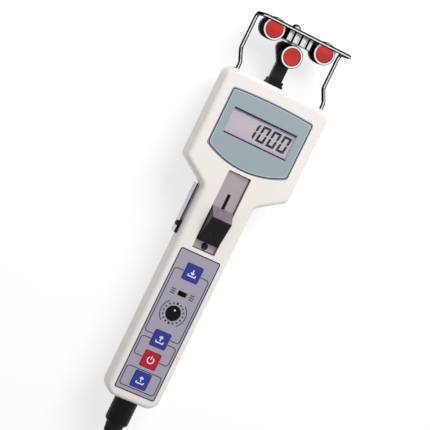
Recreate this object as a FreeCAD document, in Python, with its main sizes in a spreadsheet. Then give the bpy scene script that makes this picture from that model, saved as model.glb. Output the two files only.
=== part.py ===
import FreeCAD, Part
import math
import os
import re
import Sketcher

# Hand-held tension meter, lying on its back.
# Millimetres. X runs across the housing, Y towards the roller head, Z out of the front face.
# The origin is the mouth of the threaded insert in the rear face.

Vector = FreeCAD.Vector
os.makedirs("parts", exist_ok=True)
doc = FreeCAD.newDocument("TensionMeter")
sheet = doc.addObject("Spreadsheet::Sheet", "Sizes")

SIZES = [
    ("housing_length", 226, "housing, end to end"),
    ("head_reach", 83, "threaded insert to the head's top edge"),
    ("head_width", 76, "display head across"),
    ("handle_width", 38, "handle across"),
    ("housing_depth", 40, "rear face to front face"),
    ("parting_height", 25.5, "rear face to the joint of the two shells"),
    ("wall", 2.4, "side walls"),
    ("front_wall", 2.5, "front wall"),
    ("floor_wall", 2.5, "rear wall"),
    ("head_length", 64.5, "top edge to the start of the shoulders"),
    ("shoulder_length", 12.5, "shoulders, along Y"),
    ("head_corner", 7, "corner radius at the head"),
    ("shoulder_corner", 4, "radius where the shoulder starts"),
    ("neck_corner", 5, "radius where the shoulder meets the handle"),
    ("handle_corner", 8, "corner radius at the handle's end"),
    ("front_edge", 3, "rounding of the front edge"),
    ("rear_edge", 2.5, "rounding of the rear edge"),
    ("rear_taper", 16.6, "draft of the rear shell in degrees"),
    ("seam_step", 0.4, "rear shell inside the front shell's outline"),
    ("fit_gap", 0.3, "clearance round pieces that are let in"),
    ("run_gap", 0.07, "radial running clearance"),
    ("panel_side", 8, "housing side to the display panel"),
    ("panel_height", 48.4, "display panel, top to bottom"),
    ("panel_from_top", 10, "top edge to the display panel"),
    ("panel_crown", 1.2, "arch of the panel's top edge"),
    ("panel_bow", 7.4, "bow of the panel's bottom edge"),
    ("panel_corner", 2.2, "panel corner radius"),
    ("panel_thick", 1.2, "display panel thickness"),
    ("panel_proud", 0.2, "display panel above the front face"),
    ("panel_bevel", 0.5, "bevel round the panel"),
    ("window_side", 6.8, "display panel's side to the opening"),
    ("window_height", 18.1, "display opening, top to bottom"),
    ("window_from_top", 31.4, "top edge to the middle of the opening"),
    ("window_thick", 1.2, "clear window thickness"),
    ("window_sunk", 0.5, "clear window below the panel face"),
    ("window_play", 0.1, "clear window smaller than its opening"),
    ("glass_margin", 1, "display glass beyond the window"),
    ("glass_thick", 0.8, "display glass"),
    ("lcd_side", 3, "display panel's side to the module"),
    ("lcd_height", 26, "display module, top to bottom"),
    ("lcd_thick", 3.4, "display module thickness"),
    ("track_side", 10.7, "handle's side to the slide opening"),
    ("track_from_top", 60.7, "top edge to the slide opening"),
    ("track_corner", 0.8, "slide opening corner radius"),
    ("plate_thick", 1.2, "slide plate thickness"),
    ("plate_lap", 0.9, "slide plate under the wall at each side"),
    ("plate_end_lap", 2.9, "slide plate under the wall at each end"),
    ("slot_width", 1.7, "slot in the slide plate"),
    ("slide_travel", 11, "travel of the slide"),
    ("weld", 0.1, "overlap of shapes that are joined to one"),
    ("past", 1, "how far a cutting shape runs past a face"),
    ("slide_side", 0.4, "slide opening's side to the thumb slide"),
    ("slide_length", 24.2, "thumb slide along Y"),
    ("slide_rest", 5.9, "slide opening's handle end to the slide"),
    ("crest_height", 11.2, "crest of the slide above its base"),
    ("crest_back", 6.2, "slide's front to its crest"),
    ("slide_nose", 1.2, "height of the slide's front face"),
    ("slide_tail", 4, "height of the slide's back face"),
    ("slide_draft", 0.9, "narrowing of the slide's top at each side"),
    ("rib_pitch", 2.4, "pitch of the grooves on the slide"),
    ("rib_deep", 0.5, "depth of the grooves on the slide"),
    ("rib_start", 1.9, "crest to the first groove"),
    ("stem_width", 1.1, "stem through the slot"),
    ("stem_length", 10, "stem along Y"),
    ("stem_setback", 1.1, "slide's front to its stem"),
    ("plate_screw_inset", 3.3, "opening's end to the plate's screw"),
    ("plate_screw_radius", 1.25, "plate screw shank"),
    ("plate_screw_head", 2.2, "plate screw head radius"),
    ("plate_screw_rise", 1.4, "plate screw head height"),
    ("drive_slot", 0.5, "width of the slot in a screw head"),
    ("yoke_height", 33, "rear face to the top of the yoke"),
    ("yoke_thick", 1.6, "yoke plate"),
    ("yoke_bar", 8, "yoke cross bar along Y"),
    ("yoke_from_top", 55, "top edge to the yoke bar's upper edge"),
    ("tongue_width", 9, "yoke tongue across"),
    ("tongue_extra", 3, "yoke tongue beyond the slide's stem"),
    ("bracket_width", 10, "yoke bracket across"),
    ("bracket_length", 6, "yoke bracket along Y"),
    ("bracket_wall", 1.5, "yoke bracket behind the post"),
    ("ear_width", 4, "ear of a return spring"),
    ("clamp_width", 4.4, "block round each wire leg"),
    ("clamp_rise", 3.9, "block above the yoke plate"),
    ("wire_radius", 1.35, "wire bow"),
    ("bail_side", 6.55, "housing side to a wire leg's axis"),
    ("leg_height", 34.1, "wire legs where they leave the head"),
    ("bow_height", 20.8, "wire legs beside the rollers"),
    ("crossbar_height", 43, "wire across the front of the rollers"),
    ("crossbar_rise", 39.1, "top edge to the wire across the front"),
    ("joggle_rise", 4.2, "top edge to the start of the joggle"),
    ("joggle_length", 9, "joggle along Y"),
    ("wire_bend", 3.8, "bend radius of the wire"),
    ("joggle_bend", 3, "bend radius at the joggle"),
    ("bail_bush_radius", 2.4, "bush of a wire leg"),
    ("bail_bush_length", 7, "bush of a wire leg, length"),
    ("post_height", 10, "guide post axis above the rear face"),
    ("post_radius", 2, "guide post"),
    ("post_bush_radius", 3.2, "guide post bush"),
    ("post_bush_length", 8, "guide post bush, length"),
    ("post_bush_inset", 3.5, "top edge to the guide post bush"),
    ("nut_radius", 3.2, "domed nut"),
    ("nut_length", 4.8, "domed nut, length"),
    ("outer_rise", 33.4, "top edge to the outer roller axes"),
    ("middle_rise", 22.1, "top edge to the middle roller axis"),
    ("roller_side", 4.75, "wire leg's axis to the outer rollers"),
    ("roller_radius", 7.7, "roller flange"),
    ("groove_radius", 5.6, "bottom of the roller's groove"),
    ("groove_flat", 0.6, "flat at the bottom of the groove"),
    ("roller_width", 7.4, "roller, back to front"),
    ("roller_back", 21.8, "rear face to the back of the rollers"),
    ("flange_lip", 0.5, "bevel of the roller's rim"),
    ("cap_radius", 5.9, "coloured cap"),
    ("cap_thick", 1.1, "coloured cap thickness"),
    ("bearing_radius", 3.5, "bearing outside"),
    ("bearing_width", 3, "bearing"),
    ("bearing_inset", 2.2, "roller's back to the bearing"),
    ("axle_radius", 1.5, "roller axle"),
    ("axle_collar", 2.4, "axle collar and head"),
    ("axle_head", 0.4, "axle head thickness"),
    ("cap_sunk", 0.1, "coloured cap below the rim"),
    ("cap_bevel", 0.2, "bevel of the coloured cap"),
    ("bridge_thick", 3.4, "roller bridge plate"),
    ("bridge_lobe", 7.3, "round end of the roller bridge"),
    ("bridge_bar", 8, "roller bridge bar along Y"),
    ("hub_width", 11, "bridge hub round the guide post"),
    ("hub_wall", 1.3, "bridge hub behind the guide post"),
    ("bridge_gap", 1.2, "arm's end to the roller bridge"),
    ("block_side", 2.5, "outer rollers to the guide block"),
    ("block_height", 7.2, "guide block along Y"),
    ("block_deep", 10.1, "guide block, back to front"),
    ("block_groove_deep", 5.5, "depth of the channels"),
    ("arm_width", 9, "measuring arm across"),
    ("arm_thick", 3.4, "measuring arm"),
    ("arm_front", 18.6, "rear face to the arm's front"),
    ("arm_inside", 24, "arm's length inside the head"),
    ("arm_head_gap", 2.4, "bridge's round ends to the arm's widened end"),
    ("arm_head_start", 15.5, "top edge to the start of the widening"),
    ("arm_head_side", 24, "top edge to the full width"),
    ("arm_head_top", 29.5, "top edge to the arm's end"),
    ("arm_head_bevel", 2.6, "bevel of the arm's end corners"),
    ("gland_width", 10.2, "gland across"),
    ("gland_back", 13.4, "rear face to the gland's back"),
    ("gland_front", 21.6, "rear face to the gland's front"),
    ("gland_rise", 4.4, "gland above the top edge"),
    ("gland_step", 0.5, "gland flange beyond its body"),
    ("gland_flange", 1.8, "gland flange thickness"),
    ("gland_inside", 6, "gland below the top edge"),
    ("cell_width", 12, "load cell across"),
    ("cell_thick", 10, "load cell"),
    ("cell_length", 30, "load cell along Y"),
    ("cell_from_top", 13, "top edge to the load cell"),
    ("cell_foot_width", 26, "load cell foot across"),
    ("cell_foot_length", 10, "load cell foot along Y"),
    ("cell_foot_thick", 3, "load cell foot"),
    ("cell_screw_pitch", 18.4, "load cell screws, axis to axis"),
    ("cell_post_radius", 2.8, "post under the load cell"),
    ("cell_eye", 3.4, "radius of the load cell's cut-outs"),
    ("cell_eye_near", 9, "load cell's free end to its first cut-out"),
    ("cell_eye_far", 16.5, "load cell's free end to its second cut-out"),
    ("cell_screw_radius", 0.9, "load cell screw shank"),
    ("cell_screw_head", 1.9, "load cell screw head radius"),
    ("cell_screw_rise", 1.4, "load cell screw head height"),
    ("cell_screw_bite", 5, "load cell screw in its post"),
    ("spring_side", 6.4, "handle's side to a return spring's axis"),
    ("spring_height", 29, "return springs above the rear face"),
    ("spring_radius", 2, "return spring, mean radius"),
    ("spring_wire", 0.4, "return spring wire radius"),
    ("spring_length", 28, "return spring"),
    ("spring_post", 1.3, "post that holds a return spring"),
    ("spring_post_reach", 1.5, "post beyond the spring's axis"),
    ("keypad_side", 4.4, "handle's side to the keypad panel"),
    ("keypad_gap", 2.7, "slide opening to the keypad panel"),
    ("keypad_from_end", 6.3, "handle's end to the keypad panel"),
    ("keypad_thick", 0.7, "keypad panel thickness"),
    ("keypad_corner", 1.5, "keypad panel corner radius"),
    ("key_width", 11.2, "key across"),
    ("key_corner", 0.8, "key corner radius"),
    ("key_proud", 0.6, "key above the front face"),
    ("key_rim", 1.1, "rim under each key"),
    ("key_rim_thick", 0.8, "rim thickness"),
    ("key_travel", 0.5, "travel of a key"),
    ("knob_radius", 4.95, "selector knob"),
    ("knob_proud", 0.9, "selector knob above the front face"),
    ("knob_flute", 0.63, "radius of the flutes round the knob"),
    ("knob_flute_out", 0.3, "flute axes outside the knob"),
    ("knob_skirt", 0.6, "knob below the flutes, under the front face"),
    ("knob_bevel", 0.5, "bevel of the knob's top"),
    ("pointer_width", 0.8, "pointer groove on the knob"),
    ("pointer_deep", 0.35, "depth of the pointer groove"),
    ("knob_stem", 1.5, "selector spindle"),
    ("selector_size", 11.5, "selector body"),
    ("lever_width", 2.4, "mode lever across"),
    ("lever_length", 2.2, "mode lever along Y"),
    ("lever_proud", 0.4, "mode lever above the front face"),
    ("mode_slot_width", 6.4, "mode switch opening across"),
    ("mode_slot_length", 3.4, "mode switch opening along Y"),
    ("mode_body_margin", 1.4, "mode switch body round its opening"),
    ("mode_groove", 1.4, "depth of the lever's groove"),
    ("board_side", 3.8, "handle's side to the circuit board"),
    ("board_inset", 4.2, "keypad panel's handle end to the circuit board"),
    ("board_less", 6.4, "circuit board shorter than the keypad panel"),
    ("board_thick", 1.6, "circuit board thickness"),
    ("board_top", 33.6, "rear face to the board's front side"),
    ("board_post", 1.6, "post that the board is fixed to"),
    ("board_post_side", 2, "board's side to its posts"),
    ("board_post_end", 3.2, "board's end to its posts"),
    ("tact_size", 6, "key switch"),
    ("cell_diameter", 14.2, "battery"),
    ("battery_from_top", 111.6, "top edge to the batteries"),
    ("battery_from_end", 14.4, "handle's end to the batteries"),
    ("battery_height", 9.9, "battery axis above the rear face"),
    ("battery_pip", 1.2, "battery's raised end, length"),
    ("battery_pip_radius", 2.7, "battery's raised end"),
    ("bay_rib", 1.6, "rib at each end of the battery bay"),
    ("bay_width", 22.2, "rib at each end of the bay, across"),
    ("bay_mouth", 15.4, "battery opening across"),
    ("contact_thick", 0.5, "battery contact"),
    ("contact_width", 10, "battery contact across"),
    ("contact_low", 4, "rear face to the foot of a contact"),
    ("contact_rise", 11, "height of a contact"),
    ("door_width", 16.6, "battery door across"),
    ("door_over", 6, "battery door longer than the row of batteries"),
    ("door_thick", 1.4, "battery door"),
    ("door_sunk", 0.2, "battery door inside the rear face"),
    ("door_runout", 6, "door recess beyond the door's end"),
    ("grip_width", 10, "finger grooves on the door, across"),
    ("grip_groove", 0.9, "finger groove along Y"),
    ("grip_pitch", 2, "finger grooves, pitch"),
    ("grip_start", 8, "door's end to the first finger groove"),
    ("grip_deep", 0.4, "depth of the finger grooves"),
    ("door_tongue", 1.1, "tongue along each side of the door"),
    ("door_tongue_thick", 0.6, "tongue thickness"),
    ("insert_radius", 3.4, "threaded insert, outside"),
    ("insert_bore", 2.1, "threaded insert, bore"),
    ("insert_length", 6, "threaded insert"),
    ("insert_wall", 1.4, "boss round the threaded insert"),
    ("screw_inset_head", 15, "top edge to the head screws"),
    ("screw_side_head", 12, "housing side to the head screws"),
    ("screw_inset_neck", 105, "top edge to the neck screws"),
    ("screw_side_neck", 6.8, "handle's side to the neck screws"),
    ("screw_post", 3.4, "screw post in the rear shell"),
    ("screw_post_front", 2.6, "screw post in the front shell"),
    ("screw_radius", 1.2, "housing screw shank"),
    ("screw_head", 2.3, "housing screw head"),
    ("screw_head_rise", 2, "housing screw head thickness"),
    ("screw_sunk", 17, "rear face to the screw's seat"),
    ("screw_end", 33, "rear face to the screw's tip"),
    ("socket_radius", 5.6, "output socket"),
    ("socket_height", 31.3, "output socket above the rear face"),
    ("socket_length", 8.8, "output socket"),
    ("socket_wall", 1.2, "output socket's barrel wall"),
    ("socket_deep", 6.4, "depth of the output socket"),
    ("spigot_radius", 4.1, "plug's spigot in the socket"),
    ("spigot_length", 6, "plug's spigot, length"),
    ("plug_radius", 8.1, "plug"),
    ("plug_length", 18, "plug"),
    ("plug_rib", 0.5, "height of the ribs on the plug"),
    ("plug_rib_pitch", 2.4, "ribs on the plug, pitch"),
    ("plug_rib_start", 3.2, "plug's face to its first groove"),
    ("plug_edge", 1, "bevel of the plug's face"),
    ("plug_shoulder", 1.8, "bevel of the plug's back"),
    ("boot_length", 22, "strain relief"),
    ("boot_start", 4.6, "strain relief radius at the plug"),
    ("boot_tip", 3.1, "strain relief radius at its tip"),
    ("boot_groove", 0.5, "depth of the strain relief's grooves"),
    ("boot_groove_width", 1.5, "strain relief groove along Y"),
    ("cord_radius", 2.5, "lead"),
    ("coil_inner", 18, "coil, inside radius"),
    ("coil_outer", 38, "coil, outside radius"),
    ("coil_height", 9.7, "coil, floor to top"),
    ("coil_edge", 2.4, "rounding of the coil's edges"),
    ("tie_width", 8, "tie along the turns"),
    ("tie_thick", 0.8, "tie"),
    ("tie_slack", 0.1, "tie off the turns"),
    ("far_plug_radius", 7.2, "plug at the far end"),
    ("far_plug_length", 30, "plug at the far end"),
    ("far_boot_length", 9, "strain relief of the far plug"),
    ("far_boot_start", 3.3, "far strain relief at the lead"),
    ("far_boot_end", 4.3, "far strain relief at its plug"),
    ("far_plug_neck", 2.4, "shoulder of the far plug"),
    ("far_plug_sleeve", 5, "locking sleeve of the far plug"),
    ("far_plug_step", 0.6, "step of the locking sleeve"),
    ("clip_from_top", 78, "top edge to the side clip"),
    ("clip_length", 35, "side clip along Y"),
    ("clip_width", 8, "side clip"),
    ("clip_thick", 0.8, "side clip strip"),
    ("clip_gap", 1.3, "side clip off the wall"),
    ("clip_middle", 27, "side clip's middle above the rear face"),
    ("clip_foot", 9, "side clip foot along Y"),
    ("clip_screw_radius", 1.1, "side clip screw"),
    ("clip_screw_head", 1.8, "side clip screw head"),
    ("clip_screw_rise", 1.3, "side clip screw head height"),
    ("clip_screw_y", 6.3, "side clip's foot end to its screw"),
    ("clip_screw_up", 2, "side clip's screw above the clip's middle"),
]
for row, (alias, value, note) in enumerate(SIZES, 1):
    sheet.set("A%d" % row, note)
    sheet.set("B%d" % row, str(value))
    sheet.setAlias("B%d" % row, alias)
doc.recompute()
ALIASES = {alias for alias, value, note in SIZES}

# Sizes that follow others, as expressions: pieces keep their margins, and rows share out their length.
FOLLOWING = {
    "panel_width": "head_width - 2 * panel_side",
    "window_width": "panel_width - 2 * window_side",
    "lcd_width": "panel_width - 2 * lcd_side",
    "track_width": "handle_width - 2 * track_side",
    "track_length": "housing_length * 0.24513",
    "slide_width": "track_width - 2 * slide_side",
    "slide_setback": "track_length - slide_length - slide_rest",
    "bail_span": "head_width - 2 * bail_side",
    "roller_pitch": "bail_span - 2 * roller_side - 2 * roller_radius",
    "block_width": "roller_pitch - 2 * roller_radius - 2 * block_side",
    "block_groove": "block_width / 8",
    "block_groove_pitch": "block_width * 0.3",
    "arm_head_width": "roller_pitch - 2 * bridge_lobe - 2 * arm_head_gap",
    "spring_offset": "handle_width / 2 - spring_side",
    "keypad_width": "handle_width - 2 * keypad_side",
    "keypad_length": "housing_length - track_from_top - track_length - keypad_gap - keypad_from_end",
    "key_length": "keypad_length * 0.109",
    "store_from_end": "keypad_from_end + keypad_length * 0.8702",
    "lever_from_end": "keypad_from_end + keypad_length * 0.7195",
    "knob_from_end": "keypad_from_end + keypad_length * 0.5837",
    "recall_from_end": "keypad_from_end + keypad_length * 0.3935",
    "power_from_end": "keypad_from_end + keypad_length * 0.2458",
    "data_from_end": "keypad_from_end + keypad_length * 0.1001",
    "board_width": "handle_width - 2 * board_side",
    "board_length": "keypad_length - board_less",
    "board_from_end": "keypad_from_end + board_inset",
    "battery_length": "(housing_length - battery_from_end - battery_from_top) / 2",
    "door_length": "battery_length * 2 + door_over",
    "screw_pitch_head": "head_width - 2 * screw_side_head",
    "screw_pitch_neck": "handle_width - 2 * screw_side_neck",
}

RIB_COUNT = 6
SPRING_TURNS = 9
KNOB_FLUTES = 12
PLUG_RIBS = 5
BOOT_RIBS = 5
GRIP_COUNT = 3
BATTERY_COUNT = 2

# The lead's way from the boot's tip to the coil, and from the coil to the far plug.
# X and Y are measured from the boot's tip, Z from the floor.
CORD_ROUTE = [(0, 0, 31.3), (0, -15, 31.3), (-0.8, -29, 26.2), (-2.6, -42.5, 17), (-5.4, -56, 8),
              (-9.8, -70, 3), (-16, -84, 2.6)]
CORD_TAIL = [(-83.5, -74, 7.2), (-78.5, -55, 7.2), (-78.5, -41.5, 7.2)]
COIL_CENTRE = (-48, -69)

# Expressions that several pieces share.
END = "(head_reach - housing_length)"
NECK = "(head_reach - head_length)"
INNER_FRONT = "(housing_depth - front_wall)"
TRACK_END = "(head_reach - track_from_top - track_length)"
SLIDE_FRONT = "(head_reach - track_from_top - slide_setback)"
SLIDE_BASE = "(housing_depth - front_wall + fit_gap)"
YOKE_TOP_Y = "(head_reach - yoke_from_top)"
YOKE_UNDER = "(yoke_height - yoke_thick)"
OUTER_Y = "(head_reach + outer_rise)"
MIDDLE_Y = "(head_reach + middle_rise)"
BRIDGE_FRONT = "arm_front"
BRIDGE_BACK = "(arm_front - bridge_thick)"
BRIDGE_LOW = "(head_reach + arm_head_top + bridge_gap)"
ARM_BACK = "(arm_front - arm_thick)"
BOOT_TIP = "(head_reach - housing_length - plug_length - boot_length)"
CELL_BACK = "(arm_front + fit_gap)"
CELL_TOP_Y = "(head_reach - cell_from_top)"
CELL_FOOT_Y = "(head_reach - cell_from_top - cell_length + cell_foot_length / 2)"
STEM_LOW = "(head_reach - track_from_top - slide_setback - stem_setback - stem_length)"
SPRING_FOOT = "(head_reach - yoke_from_top - yoke_bar - spring_length)"
POST_BUSH_Y = "(head_reach - post_bush_inset - post_bush_length)"
KEYPAD_Y = "(head_reach - housing_length + keypad_from_end + keypad_length / 2)"
BATTERY_START = "(head_reach - housing_length + battery_from_end)"
BATTERY_END = "(head_reach - housing_length + battery_from_end + battery_length * %d)" % BATTERY_COUNT
CLIP_LOW = "(head_reach - clip_from_top - clip_length)"
CLIP_SCREW_Y = "(head_reach - clip_from_top - clip_length + clip_screw_y)"
CLIP_SCREW_Z = "(clip_middle + clip_screw_up)"
SCREWS = [("head", "screw_pitch_head / 2", "screw_inset_head"),
          ("neck", "screw_pitch_neck / 2", "screw_inset_neck")]
KEYS = {"store_key": "store_from_end", "recall_key": "recall_from_end",
        "power_key": "power_from_end", "data_key": "data_from_end"}
NODES = []


def linked(text):
    """An expression whose aliases point to the sheet, with a following size written out."""
    def word(match):
        name = match.group()
        if name in FOLLOWING:
            return "(%s)" % linked(FOLLOWING[name])
        return "Sizes." + name if name in ALIASES else name
    return re.sub(r"[a-z_]+", word, text)


def size(alias):
    """The value of one size."""
    return float(sheet.get(alias))


def bind(item, **settings):
    """Bind properties of an object to expressions."""
    for name, text in settings.items():
        item.setExpression(name, linked(text))


def place(item, x="0", y="0", z="0"):
    """Bind the base of an object's placement."""
    for axis, text in zip("xyz", (x, y, z)):
        item.setExpression("Placement.Base." + axis, linked(text))


def node(item, label):
    """Give a finished piece its name and list it for export."""
    item.Label = label
    NODES.append(item)
    return item


def box(label, low, span):
    """A block from its low corner and its span, all as expressions."""
    block = doc.addObject("Part::Box", label)
    bind(block, Length=span[0], Width=span[1], Height=span[2])
    place(block, *low)
    return block


def centred_box(label, x, y, z_low, width, length, height):
    """A block centred on x and y that stands on z_low."""
    return box(label, ("%s - (%s) / 2" % (x, width), "%s - (%s) / 2" % (y, length), z_low),
               (width, length, height))


def rod(label, axis, start, radius, length):
    """A cylinder along x, y or z from the middle of its first end."""
    cylinder = doc.addObject("Part::Cylinder", label)
    bind(cylinder, Radius=radius, Height=length)
    turns = {"x": (Vector(0, 1, 0), 90), "y": (Vector(1, 0, 0), -90), "z": (Vector(0, 0, 1), 0)}
    cylinder.Placement = FreeCAD.Placement(Vector(), FreeCAD.Rotation(*turns[axis]))
    place(cylinder, *start)
    return cylinder


def fuse(label, *items):
    """Several solids joined to one."""
    joined = doc.addObject("Part::MultiFuse", label)
    joined.Shapes = list(items)
    joined.Refine = True
    return joined


def common(label, *items):
    """What several solids share."""
    shared = doc.addObject("Part::MultiCommon", label)
    shared.Shapes = list(items)
    return shared


def cut(label, base, *tools):
    """A solid less the tools."""
    result = doc.addObject("Part::Cut", label)
    result.Base = base
    result.Tool = tools[0] if len(tools) == 1 else fuse(label + "_tools", *tools)
    return result


def group(label, *items):
    """Separate like solids kept in one node."""
    compound = doc.addObject("Part::Compound", label)
    compound.Links = list(items)
    return compound


def plane_of(body, role):
    """One of a body's own origin planes."""
    return [item for item in body.Origin.OriginFeatures if item.Role == role][0]


def outline(body, name, role, corners, level="0"):
    """A closed sketch of straight lines whose corners are bound to expressions."""
    sketch = body.newObject("Sketcher::SketchObject", name)
    sketch.AttachmentSupport = (plane_of(body, role), [""])
    sketch.MapMode = "FlatFace"
    sketch.setExpression("AttachmentOffset.Base.z", linked(level))
    count = len(corners)
    ring = [Vector(50 * math.cos(2 * math.pi * i / count), 50 * math.sin(2 * math.pi * i / count), 0)
            for i in range(count)]
    for i in range(count):
        sketch.addGeometry(Part.LineSegment(ring[i], ring[(i + 1) % count]), False)
    for i in range(count):
        sketch.addConstraint(Sketcher.Constraint("Coincident", i, 2, (i + 1) % count, 1))
    for i, corner in enumerate(corners):
        for kind, text, value in zip(("DistanceX", "DistanceY"), corner, (ring[i].x, ring[i].y)):
            index = sketch.addConstraint(Sketcher.Constraint(kind, -1, 1, i, 1, value))
            sketch.setExpression("Constraints[%d]" % index, linked(text))
    return sketch


def padded(label, role, corners, length, level="0", midplane=False, taper=None, backwards=False):
    """A body that is one padded outline."""
    body = doc.addObject("PartDesign::Body", label)
    pad = body.newObject("PartDesign::Pad", label + "_pad")
    pad.Profile = outline(body, label + "_outline", role, corners, level)
    pad.Midplane = midplane
    pad.Reversed = backwards
    bind(pad, Length=length)
    if taper:
        bind(pad, TaperAngle=taper)
    body.Tip = pad
    doc.recompute()
    return body


def turned(label, role, profile, at=("0", "0", "0")):
    """A body of revolution: (radius, along) corners spun about the sketch's upright axis."""
    body = doc.addObject("PartDesign::Body", label)
    sketch = outline(body, label + "_profile", role, profile)
    spin = body.newObject("PartDesign::Revolution", label + "_turn")
    spin.Profile = sketch
    spin.ReferenceAxis = (sketch, ["V_Axis"])
    spin.Angle = 360
    body.Tip = spin
    place(body, *at)
    doc.recompute()
    return body


def round_edges(body, name, radius, chosen):
    """Fillet the edges of a body's tip that the test picks."""
    base = body.Tip
    names = ["Edge%d" % (i + 1) for i, edge in enumerate(base.Shape.Edges) if chosen(edge)]
    fillet = body.newObject("PartDesign::Fillet", name)
    fillet.Base = (base, names)
    bind(fillet, Radius=radius)
    body.Tip = fillet
    doc.recompute()
    return fillet


def upright(edge):
    """True for an edge that climbs along Z."""
    return edge.BoundBox.ZLength > 0.9 * edge.BoundBox.DiagonalLength * math.cos(math.radians(35))


def ends_near(edge, y, reach):
    """True if an edge's upper end is within reach of the given y."""
    high = max((vertex.Point for vertex in edge.Vertexes), key=lambda point: point.z)
    return abs(high.y - y) < reach


def at_level(edge, level):
    """True for an edge that lies in the plane z = level."""
    return all(abs(vertex.Z - level) < 0.01 for vertex in edge.Vertexes) and edge.BoundBox.ZLength < 0.01


def housing_corners(inset):
    """The housing's outline, moved inwards by an expression."""
    lean = "tan(atan((head_width - handle_width) / 2 / shoulder_length) / 2)"
    right = [("handle_width / 2 - (%s)" % inset, END + " + (%s)" % inset),
             ("handle_width / 2 - (%s)" % inset, "%s - shoulder_length + (%s) * %s" % (NECK, inset, lean)),
             ("head_width / 2 - (%s)" % inset, "%s + (%s) * %s" % (NECK, inset, lean)),
             ("head_width / 2 - (%s)" % inset, "head_reach - (%s)" % inset)]
    return right + [("-(%s)" % x, y) for x, y in reversed(right)]


def housing_block(label, inset, level, height, less, taper=None, backwards=False):
    """A solid of the housing's outline with its upright corners rounded, radii less a wall."""
    block = padded(label, "XY_Plane", housing_corners(inset), height, level, False, taper, backwards)
    top, neck = size("head_reach"), size("head_reach") - size("head_length")
    for name, y in (("head_corner", top), ("shoulder_corner", neck),
                    ("neck_corner", neck - size("shoulder_length")),
                    ("handle_corner", top - size("housing_length"))):
        change = "+" if name == "neck_corner" else "-"
        round_edges(block, label + "_" + name, "%s %s (%s)" % (name, change, less),
                    lambda edge, y=y: upright(edge) and ends_near(edge, y, 4))
    return block


def rounded_box(label, x, y, z_low, width, length, height, radius):
    """A block with rounded upright corners, centred on x and y."""
    block = padded(label, "XY_Plane", [("%s %s (%s) / 2" % (x, a, width), "%s %s (%s) / 2" % (y, b, length))
                                       for a, b in ("--", "+-", "++", "-+")], height, z_low)
    round_edges(block, label + "_corners", radius, upright)
    return block


def mirrored_x(maker, label, x):
    """The same tool on the right and on the left."""
    return [maker(label + "_right", x), maker(label + "_left", "-(%s)" % x)]


def panel_blank(label, grow, low, height):
    """A block with an arched top and a bowed bottom edge, in the panel's outline."""
    top = "(head_reach - panel_from_top + %s)" % grow
    width = "(panel_width + 2 * %s)" % grow
    span = "(panel_height + 2 * %s)" % grow
    block = box(label + "_block", ("-%s / 2" % width, "%s - %s - 1" % (top, span), low),
                (width, span + " + 2", height))
    crown = "((panel_width / 2) ^ 2 + panel_crown ^ 2) / (2 * panel_crown)"
    bow = "((panel_width / 2) ^ 2 + panel_bow ^ 2) / (2 * panel_bow)"
    arch = rod(label + "_arch", "z", ("0", "%s - (%s)" % (top, crown), low), crown, height)
    sweep = rod(label + "_sweep", "z", ("0", "%s - %s + (%s)" % (top, span, bow), low), bow, height)
    blank = common(label + "_form", block, arch, sweep)
    doc.recompute()
    rounded = doc.addObject("Part::Fillet", label)
    rounded.Base = blank
    radius = size("panel_corner")
    rounded.Edges = [(i + 1, radius, radius) for i, edge in enumerate(blank.Shape.Edges)
                     if edge.BoundBox.ZLength > 0.1 and abs(edge.Vertexes[0].X) > 1]
    return rounded


def wire_path(points, radii):
    """Straight runs joined by tangent arcs: one radius for each inner point."""
    ends, edges = Vector(*points[0]), []
    for i in range(1, len(points) - 1):
        before, here, after = (Vector(*points[k]) for k in (i - 1, i, i + 1))
        come, leave = (here - before).normalize(), (after - here).normalize()
        turn = come.getAngle(leave)
        reach = radii[i - 1] * math.tan(turn / 2)
        start, stop = here - come * reach, here + leave * reach
        inward = (leave - come).normalize()
        middle = here + inward * (radii[i - 1] / math.cos(turn / 2) - radii[i - 1])
        edges.append(Part.LineSegment(ends, start).toShape())
        edges.append(Part.Arc(start, middle, stop).toShape())
        ends = stop
    edges.append(Part.LineSegment(ends, Vector(*points[-1])).toShape())
    return Part.Wire(edges)


def tube(path, radius):
    """A round section carried along a path."""
    start = path.Edges[0].valueAt(path.Edges[0].FirstParameter)
    heading = path.Edges[0].tangentAt(path.Edges[0].FirstParameter)
    ring = Part.Wire([Part.Circle(start, heading, radius).toShape()])
    return path.makePipeShell([ring], True, True)


def shape_object(label, shape):
    """A document object that holds a ready shape."""
    item = doc.addObject("Part::Feature", label)
    item.Shape = shape
    return item


def control_holes(label, low, height, gap):
    """Holes for the keys, the selector and the mode switch, for the shell and the keypad panel."""
    holes = [rounded_box("%s_%s_hole" % (label, key), "0", END + " + " + from_end, low,
                         "key_width + 2 * " + gap, "key_length + 2 * " + gap, height, "key_corner + " + gap)
             for key, from_end in KEYS.items()]
    holes.append(rod(label + "_knob_hole", "z", ("0", END + " + knob_from_end", low), "knob_radius + " + gap,
                     height))
    holes.append(centred_box(label + "_lever_hole", "0", END + " + lever_from_end", low, "mode_slot_width",
                             "mode_slot_length", height))
    return holes


def screw_rods(label, low, radius, height):
    """The same rod at each of the four housing screws."""
    rods = []
    for name, x, inset in SCREWS:
        rods += mirrored_x(lambda side, at, inset=inset: rod(side, "z", (at, "head_reach - " + inset, low),
                                                             radius, height), name + label, x)
    return rods


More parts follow.
